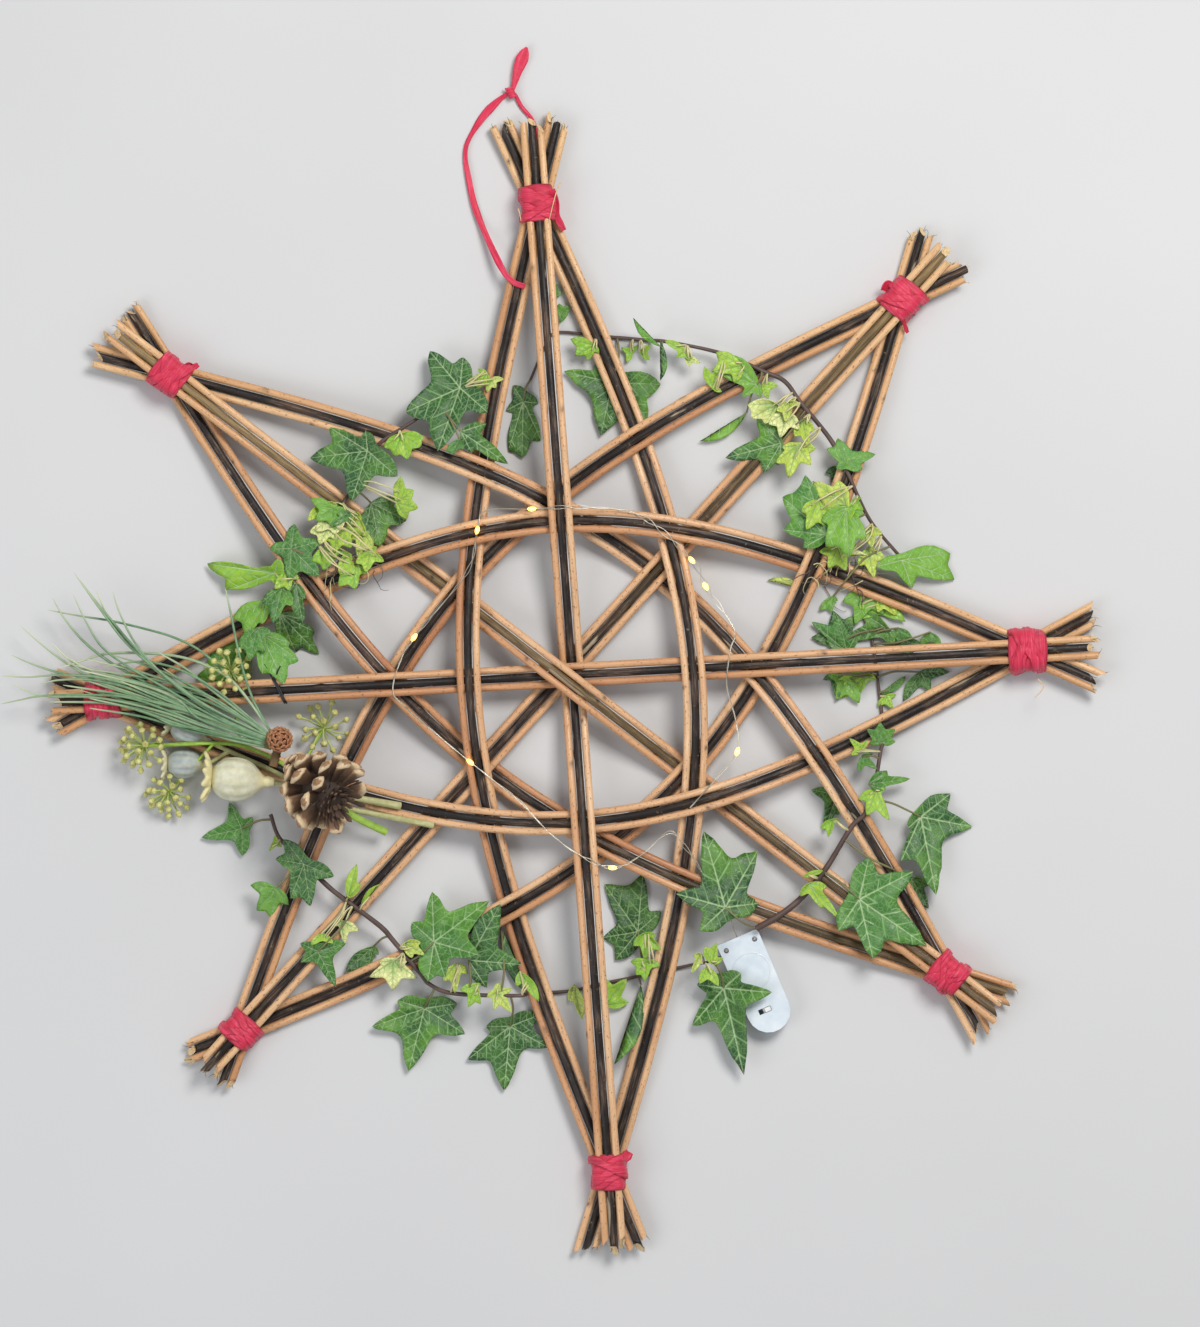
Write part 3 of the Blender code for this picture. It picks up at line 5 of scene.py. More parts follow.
import bpy
import numpy as np
from mathutils import Matrix, Vector, noise
from mathutils.bvhtree import BVHTree


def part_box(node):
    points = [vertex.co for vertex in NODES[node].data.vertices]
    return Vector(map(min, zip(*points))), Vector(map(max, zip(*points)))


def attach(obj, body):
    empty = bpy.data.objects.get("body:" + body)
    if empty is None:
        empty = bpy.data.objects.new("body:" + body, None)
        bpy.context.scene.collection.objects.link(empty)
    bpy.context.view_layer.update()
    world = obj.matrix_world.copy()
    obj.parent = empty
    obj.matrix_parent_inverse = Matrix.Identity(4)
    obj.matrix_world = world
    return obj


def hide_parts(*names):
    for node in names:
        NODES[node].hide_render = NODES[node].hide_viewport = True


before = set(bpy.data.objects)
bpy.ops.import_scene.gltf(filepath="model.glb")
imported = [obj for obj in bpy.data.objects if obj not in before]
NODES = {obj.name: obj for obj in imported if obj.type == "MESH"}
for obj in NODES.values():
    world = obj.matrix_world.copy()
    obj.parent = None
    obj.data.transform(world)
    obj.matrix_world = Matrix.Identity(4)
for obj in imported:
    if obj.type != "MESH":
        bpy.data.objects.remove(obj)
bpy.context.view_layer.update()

MM = 0.001
# The hub in the model's frame, then the photo's size, its scale and its hub.
HUB = np.array([12.53, 4.27]) * MM
PHOTO_WIDTH, PHOTO_HEIGHT = 1200, 1327
PIXEL = 0.57 * MM
PHOTO_HUB = (574, 676)
rng = np.random.RandomState(7)

# The four vesicas and their bundles.
BUNDLES = {
    "upright": ("straight", "left", "right"),
    "level": ("straight", "upper", "lower"),
    "rising": ("straight", "upper", "lower"),
    "falling": ("straight", "upper", "lower"),
}
# Star points: distance of the binding from the hub in mm, and its bearing in degrees.
POINTS = {
    "top": (270.0, 94.4),
    "upper_right": (285.0, 48.9),
    "right": (258.6, 3.2),
    "lower_right": (272.6, -38.6),
    "bottom": (283.4, -86.0),
    "lower_left": (277.4, -133.2),
    "left": (268.8, 182.9),
    "upper_left": (287.2, 143.3),
}
BUFF_RADIUS = 2.1 * MM
DARK_RADIUS = 2.3 * MM


# Placing


def at(x, y, z=0.0):
    """Millimetres from the hub to metres in the model's frame."""
    return np.array([x * MM + HUB[0], y * MM + HUB[1], z * MM])


def unit(v):
    v = np.asarray(v, float)
    return v / max(1e-12, np.linalg.norm(v))


def smooth_line(points, step):
    """Points about a step apart on a Catmull-Rom curve through the given ones."""
    p = np.asarray(points, float)
    p = np.vstack([2 * p[0] - p[1], p, 2 * p[-1] - p[-2]])
    out = []
    for a, b, c, d in zip(p, p[1:], p[2:], p[3:]):
        count = max(2, int(round(np.linalg.norm(c - b) / step)))
        t = np.linspace(0, 1, count, endpoint=False)[:, None]
        square, cube = 2 * a - 5 * b + 4 * c - d, 3 * b - a - 3 * c + d
        out.append(0.5 * (2 * b + (c - a) * t + square * t**2 + cube * t**3))
    return np.vstack(out + [p[-2][None]])


def run_of(line):
    return np.concatenate([[0.0], np.cumsum(np.linalg.norm(np.diff(line, axis=0), axis=1))])


def settle(values, rounds):
    """Evens out a run of values in place, keeping its ends."""
    for _ in range(rounds):
        values[1:-1] = (values[:-2] + 2 * values[1:-1] + values[2:]) / 4
    return values


def corners(node):
    """The distinct vertices of a solid."""
    return np.unique(np.round([v.co[:] for v in NODES[node].data.vertices], 6), axis=0)


def frames(line):
    """Headings, sides and ups along a line."""
    ahead = np.gradient(line, axis=0)
    ahead /= np.linalg.norm(ahead, axis=1)[:, None]
    side = np.cross(np.broadcast_to((0.0, 0.0, 1.0), ahead.shape), ahead)
    side /= np.maximum(1e-9, np.linalg.norm(side, axis=1))[:, None]
    return ahead, side, np.cross(ahead, side)


# Meshes

# Texture places per metre.
UV_SCALE = 100.0


class Shape:
    """Vertices, faces and per-vertex values gathered for one mesh."""

    def __init__(self):
        self.points, self.faces, self.slots, self.uvs = [], [], [], []
        self.values = {}
        self.count = 0

    def add(self, points, faces, slot=0, uvs=None, **values):
        n = len(points)
        self.points.append(np.asarray(points, float))
        self.faces += [tuple(int(i) + self.count for i in f) for f in faces]
        self.slots += [slot] * len(faces)
        self.uvs.append(np.zeros((n, 2)) if uvs is None else np.asarray(uvs, float))
        for name in set(values) | set(self.values):
            kept = self.values.setdefault(name, np.zeros(self.count))
            value = np.broadcast_to(values.get(name, 0.0), n)
            self.values[name] = np.concatenate([kept, value])
        self.count += n

    def build(self, name, materials):
        mesh = bpy.data.meshes.new(name)
        mesh.from_pydata(np.vstack(self.points).tolist(), [], self.faces)
        for material in materials:
            mesh.materials.append(material)
        mesh.polygons.foreach_set("material_index", self.slots)
        mesh.polygons.foreach_set("use_smooth", [True] * len(self.faces))
        corners = np.zeros(len(mesh.loops), np.int32)
        mesh.loops.foreach_get("vertex_index", corners)
        uv = mesh.uv_layers.new(name="UVMap")
        uv.data.foreach_set("uv", np.vstack(self.uvs)[corners].ravel())
        for key, value in self.values.items():
            mesh.attributes.new(key, "FLOAT", "POINT").data.foreach_set("value", value)
        mesh.update()
        obj = bpy.data.objects.new(name, mesh)
        bpy.context.scene.collection.objects.link(obj)
        return obj


def sweep(shape, line, sections, slot=0, caps=True, cap_slot=None, across=None, **values):
    """A skin through closed sections; each is (points, 2) across and up from the line, in metres."""
    line = np.asarray(line, float)
    rings, sides = len(line), sections.shape[1]
    _, side, up = frames(line) if across is None else across
    points = line[:, None] + sections[:, :, :1] * side[:, None] + sections[:, :, 1:] * up[:, None]
    run = run_of(line)
    girth = np.linalg.norm(np.diff(sections[0], axis=0, append=sections[0][:1]), axis=1)
    around = np.concatenate([[0.0], np.cumsum(girth)])[:sides]
    uvs = np.stack(np.broadcast_arrays(run[:, None], around[None]), axis=-1) * UV_SCALE
    index = np.arange(rings * sides).reshape(rings, sides)
    nxt = np.roll(index, -1, axis=1)
    faces = np.stack([index[:-1], nxt[:-1], nxt[1:], index[1:]], axis=-1).reshape(-1, 4)
    spread = {}
    for name, value in values.items():
        rows = np.asarray(value, float).reshape(len(value), -1) if np.ndim(value) else value
        spread[name] = np.broadcast_to(rows, (rings, sides)).ravel()
    shape.add(points.reshape(-1, 3), faces, slot, uvs.reshape(-1, 2), **spread)
    if caps:
        for ring, flip in ((0, True), (rings - 1, False)):
            rim = points[ring]
            face = list(range(sides))
            ends = {k: v.reshape(rings, sides)[ring] for k, v in spread.items()}
            flat = sections[ring] * UV_SCALE
            end_slot = slot if cap_slot is None else cap_slot
            shape.add(rim, [face[::-1] if flip else face], end_slot, flat, **ends)
    return points


def circle(sides):
    a = np.linspace(0, 2 * math.pi, sides, endpoint=False)
    return np.stack([np.cos(a), np.sin(a)], axis=-1)


def round_sections(radii, sides, squash=1.0):
    ring = circle(sides) * (1.0, squash)
    return np.asarray(radii, float)[:, None, None] * ring[None]


def wobble(values, scale, seed):
    """Smooth noise along a run of values."""
    return np.array([noise.noise(Vector((v * scale, seed * 7.31, 0.5))) for v in values])


# Materials


class Shader:
    """A node material with a Principled shader."""

    def __init__(self, name):
        self.material = bpy.data.materials.new(name)
        self.material.use_nodes = True
        self.tree = self.material.node_tree
        self.surface = self.tree.nodes["Principled BSDF"]

    def put(self, socket, value):
        if isinstance(value, bpy.types.NodeSocket):
            self.tree.links.new(value, socket)
        else:
            socket.default_value = value

    def add(self, kind, inputs=(), out=0, **settings):
        node = self.tree.nodes.new(kind)
        for key, value in settings.items():
            setattr(node, key, value)
        for key, value in dict(inputs).items():
            self.put(node.inputs[key], value)
        return node.outputs[out]

    def set(self, **inputs):
        for key, value in inputs.items():
            self.put(self.surface.inputs[key.replace("_", " ")], value)
        return self

    def math(self, operation, a, b=0.0, c=0.0, clamp=False):
        return self.add("ShaderNodeMath", {0: a, 1: b, 2: c}, operation=operation, use_clamp=clamp)

    def value(self, name):
        return self.add("ShaderNodeAttribute", out=2, attribute_name=name)

    def uv(self, scale=(1.0, 1.0, 1.0)):
        where = self.add("ShaderNodeUVMap", uv_map="UVMap")
        return self.add("ShaderNodeMapping", {"Vector": where, "Scale": scale})

    def place(self, scale=(1.0, 1.0, 1.0)):
        where = self.add("ShaderNodeTexCoord", out=3)
        return self.add("ShaderNodeMapping", {"Vector": where, "Scale": scale})

    def noise(self, vector, scale, detail=3.0, rough=0.55):
        inputs = {"Vector": vector, "Scale": scale, "Detail": detail, "Roughness": rough}
        return self.add("ShaderNodeTexNoise", inputs)

    def ramp(self, factor, *stops):
        """A colour ramp of (place, grey or colour) stops."""
        node = self.tree.nodes.new("ShaderNodeValToRGB")
        stops = [(place, (c, c, c) if np.ndim(c) == 0 else c) for place, c in stops]
        while len(node.color_ramp.elements) < len(stops):
            node.color_ramp.elements.new(0.5)
        for element, (place, colour) in zip(node.color_ramp.elements, stops):
            element.position = place
            element.color = (*colour, 1.0)
        self.put(node.inputs[0], factor)
        return node.outputs[0]

    def mix(self, factor, a, b):
        node = self.tree.nodes.new("ShaderNodeMix")
        node.data_type = "RGBA"
        for socket, value in zip((node.inputs[0], node.inputs[6], node.inputs[7]), (factor, a, b)):
            self.put(socket, (*value, 1.0) if isinstance(value, tuple) else value)
        return node.outputs[2]

    def bump(self, height, distance, strength=1.0):
        return self.add("ShaderNodeBump", {"Height": height, "Distance": distance, "Strength": strength})


def srgb(r, g, b):
    shares = (r / 255, g / 255, b / 255)
    return tuple(c / 12.92 if c <= 0.04045 else ((c + 0.055) / 1.055) ** 2.4 for c in shares)


def willow_buff():
    s = Shader("willow_buff")
    streak = s.noise(s.uv((0.5, 9.0, 1.0)), 1.0, 4.0)
    broad = s.noise(s.uv((0.12, 0.35, 1.0)), 1.0, 2.0)
    tone = s.math("ADD", s.math("MULTIPLY", broad, 0.7), s.math("MULTIPLY", s.value("tone"), 0.45))
    base = s.ramp(
        tone, (0.25, srgb(178, 122, 84)), (0.45, srgb(204, 151, 106)),
        (0.62, srgb(221, 174, 129)), (0.85, srgb(235, 197, 154)),
    )
    base = s.mix(s.math("MULTIPLY", s.value("outer"), 0.4), base, srgb(226, 186, 128))
    base = s.mix(s.ramp(streak, (0.35, 0.0), (0.7, 0.42)), base, srgb(168, 106, 68))
    speck = s.noise(s.uv((4.2, 9.0, 1.0)), 1.0, 2.0, 0.7)
    base = s.mix(s.ramp(speck, (0.60, 0.0), (0.67, 0.8)), base, srgb(96, 50, 34))
    base = s.mix(s.value("scar"), base, srgb(58, 36, 26))
    s.set(Base_Color=base, Roughness=s.ramp(streak, (0.3, 0.36), (0.7, 0.52)))
    s.set(Normal=s.bump(s.math("ADD", streak, s.math("MULTIPLY", speck, 0.5)), 0.00025, 0.7))
    return s.material


def willow_dark():
    s = Shader("willow_dark")
    streak = s.noise(s.uv((0.7, 10.0, 1.0)), 1.0, 5.0, 0.6)
    broad = s.noise(s.uv((0.35, 0.8, 1.0)), 1.0, 3.0)
    base = s.ramp(broad, (0.30, srgb(20, 16, 15)), (0.52, srgb(38, 29, 25)), (0.72, srgb(72, 51, 38)))
    worn = s.ramp(broad, (0.42, 0.0), (0.60, 0.85))
    scuff = s.math("MULTIPLY", s.ramp(streak, (0.50, 0.0), (0.66, 1.0)), worn)
    base = s.mix(scuff, base, srgb(126, 108, 92))
    peel = s.noise(s.uv((0.22, 1.5, 1.0)), 1.0, 3.0)
    base = s.mix(s.ramp(peel, (0.66, 0.0), (0.70, 0.8)), base, srgb(176, 160, 136))
    dash = s.noise(s.uv((6.0, 2.5, 1.0)), 1.0, 1.0)
    base = s.mix(s.ramp(dash, (0.70, 0.0), (0.76, 0.6)), base, srgb(140, 118, 96))
    olive = s.ramp(streak, (0.35, srgb(112, 92, 60)), (0.65, srgb(172, 144, 96)))
    base = s.mix(s.value("pale"), base, olive)
    base = s.mix(s.value("scar"), base, srgb(12, 9, 8))
    s.set(Base_Color=base, Roughness=s.ramp(streak, (0.3, 0.34), (0.7, 0.6)), Specular_IOR_Level=0.35)
    s.set(Normal=s.bump(s.math("ADD", streak, dash), 0.0003, 0.7))
    return s.material


def willow_cut():
    s = Shader("willow_cut")
    grain = s.noise(s.uv((7.0, 7.0, 1.0)), 1.0, 4.0)
    base = s.ramp(grain, (0.3, srgb(196, 160, 112)), (0.7, srgb(236, 212, 168)))
    s.set(Base_Color=base, Roughness=0.75, Normal=s.bump(grain, 0.0003))
    return s.material


def raffia():
    s = Shader("raffia_red")
    fibre = s.noise(s.uv((0.5, 11.0, 1.0)), 1.0, 5.0, 0.6)
    broad = s.noise(s.uv((0.5, 1.2, 1.0)), 1.0, 3.0)
    base = s.ramp(fibre, (0.26, srgb(172, 20, 52)), (0.5, srgb(218, 42, 78)), (0.76, srgb(242, 98, 128)))
    base = s.mix(s.ramp(broad, (0.35, 0.5), (0.6, 0.0)), base, srgb(194, 28, 62))
    # Painted shade: the raffia turns dark red in its sunken creases and along the tucked edges of each band.
    base = s.mix(s.value("dent"), base, srgb(140, 10, 40))
    s.set(Base_Color=base, Roughness=s.ramp(fibre, (0.3, 0.62), (0.7, 0.4)), Sheen_Weight=0.06)
    wrinkle = s.noise(s.uv((1.4, 5.0, 1.0)), 1.0, 3.0, 0.6)
    s.set(Normal=s.bump(s.math("ADD", fibre, s.math("MULTIPLY", wrinkle, 1.6)), 0.0006, 0.9))
    return s.material


def wire_metal():
    s = Shader("wire_silver")
    patch = s.noise(s.uv((0.4, 1.0, 1.0)), 1.0, 2.0)
    s.set(Base_Color=s.ramp(patch, (0.35, srgb(178, 170, 150)), (0.65, srgb(226, 222, 208))), Metallic=0.75)
    s.set(Roughness=s.ramp(patch, (0.3, 0.25), (0.7, 0.42)))
    return s.material


def floor_look():
    s = Shader("floor")
    tone = s.noise(s.place((1.0, 1.0, 1.0)), 3.0, 2.0)
    s.set(Base_Color=s.ramp(tone, (0.3, 0.60), (0.7, 0.63)), Roughness=0.85)
    return s.material


BUFF, DARK, CUT, RED, WIRE = willow_buff(), willow_dark(), willow_cut(), raffia(), wire_metal()


# Willow rods


def rod_centres(node):
    """Middles of the rings of a rod's solid, from one end to the other."""
    co = corners(node)
    middle = co.mean(axis=0)
    chord = np.linalg.svd(co - middle, full_matrices=False)[2][0]
    run = (co - middle) @ chord
    order = np.argsort(run)
    co, run = co[order], run[order]
    cuts = np.where(np.diff(run) > 6 * MM)[0] + 1
    return np.array([ring.mean(axis=0) for ring in np.split(co, cuts)])


ROD_STEP, ROD_SIDES = 2.2 * MM, 12
# Buds: the least and most between two of them in mm, then their length and how far they swell.
BUD_GAPS, BUD_LENGTH, BUD_SWELL = (38, 85), 2.4 * MM, 0.2
# Buff rods pale outwards from the hub and upwards, over these distances and these places along y.
PALE_REACH, PALE_RISE = (120 * MM, 300 * MM), (-250 * MM, 200 * MM)
# Dark rods that turn olive: how far at their left end, middle and right end.
PALER_RODS = {
    "rod_falling_straight_b": (0.9, 0.42, 0.3),
    "rod_falling_lower_b": (0.0, 0.0, 0.5),
    "rod_rising_straight_b": (0.0, 0.0, 0.7),
}


def add_rod(shape, node, slot):
    """A rod with its buds, their scars and its cut ends. Returns its line and its radius."""
    radius = DARK_RADIUS if slot else BUFF_RADIUS
    line = smooth_line(rod_centres(node), ROD_STEP)
    run = run_of(line)
    seed = rng.uniform(0, 50)
    line[:, 2] += 0.12 * MM * wobble(run, 30, seed)
    taper = rng.choice((-1, 1)) * 0.05
    radii = radius * (0.985 + taper * (run / run[-1] - 0.5) + 0.03 * wobble(run, 60, seed + 9))
    sections = round_sections(radii, ROD_SIDES)
    angles = np.linspace(0, 2 * math.pi, ROD_SIDES, endpoint=False)
    scar = np.zeros(sections.shape[:2])
    place, turn = rng.uniform(15, 60) * MM, rng.uniform(0, 6)
    while place < run[-1] - 12 * MM:
        gap = (angles[None] - turn + math.pi) % (2 * math.pi) - math.pi
        past = run[:, None] - place
        bulge = np.exp(-((past / BUD_LENGTH) ** 2) - (gap / 0.75) ** 2)
        sections *= 1 + BUD_SWELL * bulge[:, :, None]
        mark = np.exp(-(((past - 0.8 * MM) / (1.5 * MM)) ** 2) - (gap / 0.5) ** 2)
        scar = np.maximum(scar, mark)
        turn += 2.4 + rng.uniform(-0.4, 0.4)
        place += rng.uniform(*BUD_GAPS) * MM
    tone = rng.uniform(0, 1)
    phase = rng.uniform(0, 20)
    bevel = rng.uniform(-0.7, 0.7, 4)
    ahead = frames(line)[0]
    cuts = [(end, sections[end] @ slant, ahead[end]) for end, slant in ((0, bevel[:2]), (-1, bevel[2:]))]
    reach = np.linalg.norm(line[:, :2] - HUB[:2], axis=1)
    outer = np.interp(reach, PALE_REACH, (0.0, 1.0)) * np.interp(line[:, 1], PALE_RISE, (0.3, 1.2))
    stations = np.linspace(line[:, 0].min(), line[:, 0].max(), 3)
    pale = np.interp(line[:, 0], stations, PALER_RODS.get(node, (0, 0, 0)))
    points = sweep(shape, line, sections, slot, cap_slot=2, scar=scar, tone=tone, outer=outer, pale=pale)
    for n in range(len(shape.uvs) - 3, len(shape.uvs)):
        shape.uvs[n] = shape.uvs[n] + (phase, phase * 0.3)
    slant_ends(shape, points, cuts)
    for end, step in ((0, 1), (-1, -2)):
        fray(shape, line[end], unit(line[end] - line[end + step]), radius)
    return line, radius


def fray(shape, tip, ahead, radius):
    """Short fibres that stick out of a cut end."""
    side = unit(np.cross(ahead, (0.0, 0.0, 1.0)))
    up = np.cross(side, ahead)
    for _ in range(rng.randint(3, 7)):
        a, reach = rng.uniform(0, 2 * math.pi), rng.uniform(1.2, 4.5) * MM
        out = side * math.cos(a) + up * math.sin(a)
        start = tip + out * radius * rng.uniform(0.5, 0.95) - ahead * 1.5 * MM
        bend = ahead * rng.uniform(0.4, 1.0) + out * rng.uniform(0.1, 0.9)
        line = np.array([start, start + ahead * 1.8 * MM, start + ahead * 1.8 * MM + bend * reach * 0.6,
                         start + ahead * 1.5 * MM + bend * reach + side * rng.uniform(-1, 1) * MM])
        line[:, 2] = np.maximum(line[:, 2], 0.3 * MM)
        line = smooth_line(line, 0.7 * MM)
        radii = np.linspace(0.2, 0.07, len(line)) * MM
        sweep(shape, line, round_sections(radii, 5), int(rng.choice((1, 2, 2))))


def slant_ends(shape, points, cuts):
    """Moves the end rings along the rod, so that each end is a slanted cut."""
    rings, sides = points.shape[:2]
    body, cap_a, cap_b = shape.points[-3:]
    for (end, cut, move), cap in zip(cuts, (cap_a, cap_b)):
        shift = cut[:, None] * move
        ring = slice(0, sides) if end == 0 else slice((rings - 1) * sides, rings * sides)
        body[ring] += shift
        cap += shift


ROD_LINES = {}
ROD_PIECES = []
for vesica, ways in BUNDLES.items():
    for way in ways:
        shape = Shape()
        made = []
        for letter in "abc":
            node = f"rod_{vesica}_{way}_{letter}"
            ROD_LINES[node] = add_rod(shape, node, int(letter == "b"))
            made.append(node)
        obj = shape.build(f"willow_{vesica}_{way}", [BUFF, DARK, CUT])
        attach(obj, "star")
        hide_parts(*made)
        ROD_PIECES.append(obj)


# What things lie on


def tree_of(objects):
    points, faces, count = [], [], 0
    for obj in objects:
        points += [v.co for v in obj.data.vertices]
        faces += [[i + count for i in p.vertices] for p in obj.data.polygons]
        count = len(points)
    return BVHTree.FromPolygons(points, faces)


def drop(tree, x, y):
    """Height of the first surface met from above, or None."""
    hit = tree.ray_cast(Vector((x, y, 0.3)), Vector((0.0, 0.0, -1.0)))[0]
    return None if hit is None else hit.z


def heights(tree, plan):
    """Heights of a surface under plan points; where it is missed, those of its neighbours on the line."""
    found = [drop(tree, x, y) for x, y in plan]
    good = [n for n, z in enumerate(found) if z is not None]
    if not good:
        return np.zeros(len(plan))
    return np.interp(np.arange(len(plan)), good, [found[n] for n in good])


def laid(tree, plan, radius, slope):
    """Heights of a limp thing's middle over a surface, sinking by slope between its rests."""
    low = np.full(len(plan), radius)
    for shift in ((0, 0), (radius, 0), (-radius, 0), (0, radius), (0, -radius)):
        for n, (x, y) in enumerate(plan):
            z = drop(tree, x + shift[0], y + shift[1])
            if z is not None:
                low[n] = max(low[n], z + radius)
    run = run_of(plan)
    z = (low[None] - slope * np.abs(run[:, None] - run[None])).max(axis=1)
    for _ in range(4):
        z[1:-1] = np.maximum(low[1:-1], (z[:-2] + 2 * z[1:-1] + z[2:]) / 4)
    return z


RODS = tree_of(ROD_PIECES)


# Raffia

# Steps of a binding's outline, then steps along and across a length of raffia.
GIRTH_STEPS, BAND_STEPS, BAND_COLUMNS = 72, 97, 17
# Half the length of each binding along its rods, and how far it bulges over them, in mm.
BINDING_FORMS = {
    "top": (10.2, 1.3), "upper_right": (10.4, 1.2), "right": (10.8, 3.6), "lower_right": (9.8, 1.3),
    "bottom": (10.0, 1.2), "lower_left": (8.4, 1.2), "left": (10.2, 1.2), "upper_left": (9.8, 1.3),
}
# How much of the rods' spread the raffia follows towards its ends.
BINDING_DRAW = 0.45
# Turns of raffia over the first: place along the binding, tilt to either side and width, in mm.
BAND_COURSES = ((-2.5, 4.5, 9.0), (2.5, 5.0, 8.5), (0.2, 7.5, 6.0), (-3.5, 5.0, 5.0))
# Loose ends and fibres, in mm across and up from the middle of each binding.
BINDING_TAILS = {
    "top": ((((8, 8), (11, 1), (11, -7), (15, -15)), 4.0),),
    "upper_right": ((((-3, 5), (-8, 9), (-11, 5)), 5.0), (((0, -8), (1, -14), (3, -19)), 2.5)),
    "bottom": ((((2, 3), (8, 7), (12, 11)), 6.5),),
    "lower_left": ((((-2, 2), (1, 8), (2, 12)), 4.0),),
    "upper_left": ((((5, 2), (11, 3), (16, 6)), 3.8), (((6, 3), (10, 6), (13, 5)), 3.0)),
}
BINDING_WISPS = {
    "top": (((13, 12), (10, 4), (7, -8), (6.5, -11)), ((-11, -3), (-10, -7), (-9.5, -10))),
    "right": (((6, -16), (9, -21), (4, -27)),),
}


def crumpled(run, width, thickness, seed, folds=0.32, sides=7):
    """Sections of a creased strip along a run: its face and its back."""
    x = np.linspace(-0.5, 0.5, sides)
    out = np.zeros((len(run), 2 * sides, 2))
    for k, s in enumerate(run):
        w = width[k] if np.ndim(width) else width
        broad = np.array([noise.noise(Vector((s * 45, v * 3.1, seed))) for v in x])
        fine = np.array([noise.noise(Vector((s * 25, v * 8.0, seed + 5))) for v in x])
        lift = (broad + 0.6 * fine) * folds * MM
        out[k, :sides] = np.stack([x * w, lift + thickness / 2], axis=-1)
        out[k, sides:] = np.stack([x[::-1] * w, lift[::-1] - thickness / 2], axis=-1)
    return out


def strip(shape, line, ups, width, thickness, seed, folds=0.32, low=0.15 * MM):
    """A creased strip along a line, with its face turned to the given directions."""
    ahead = np.gradient(line, axis=0)
    ahead /= np.linalg.norm(ahead, axis=1)[:, None]
    side = np.cross(ahead, ups)
    side /= np.linalg.norm(side, axis=1)[:, None]
    up = np.cross(side, ahead)
    sections = crumpled(run_of(line), width, thickness, seed, folds)
    sweep(shape, line, sections, across=(ahead, side, up))
    for block in shape.points[-3:]:
        block[:, 2] = np.maximum(block[:, 2], low)


def wound_outline(rods, t):
    """Closed outline round the rods that cross a binding at a distance along it, and the ways out of it."""
    middles = np.array([[np.interp(t, r[0], r[1]), np.interp(t, r[0], r[2])] for r in rods])
    radii = np.array([r[3] for r in rods])
    turn = np.linspace(-math.pi / 2, 1.5 * math.pi, 181)
    facing = np.stack([np.cos(turn), np.sin(turn)], axis=-1)
    best = (facing @ middles.T + radii).argmax(axis=1)
    rim = middles[best] + radii[best][:, None] * facing
    run = run_of(rim)
    even = np.linspace(0, run[-1], GIRTH_STEPS, endpoint=False)
    place = np.stack([np.interp(even, run, rim[:, k]) for k in range(2)], axis=-1)
    out = np.stack([np.interp(even, run, facing[:, k]) for k in range(2)], axis=-1)
    return place, out / np.linalg.norm(out, axis=1)[:, None]


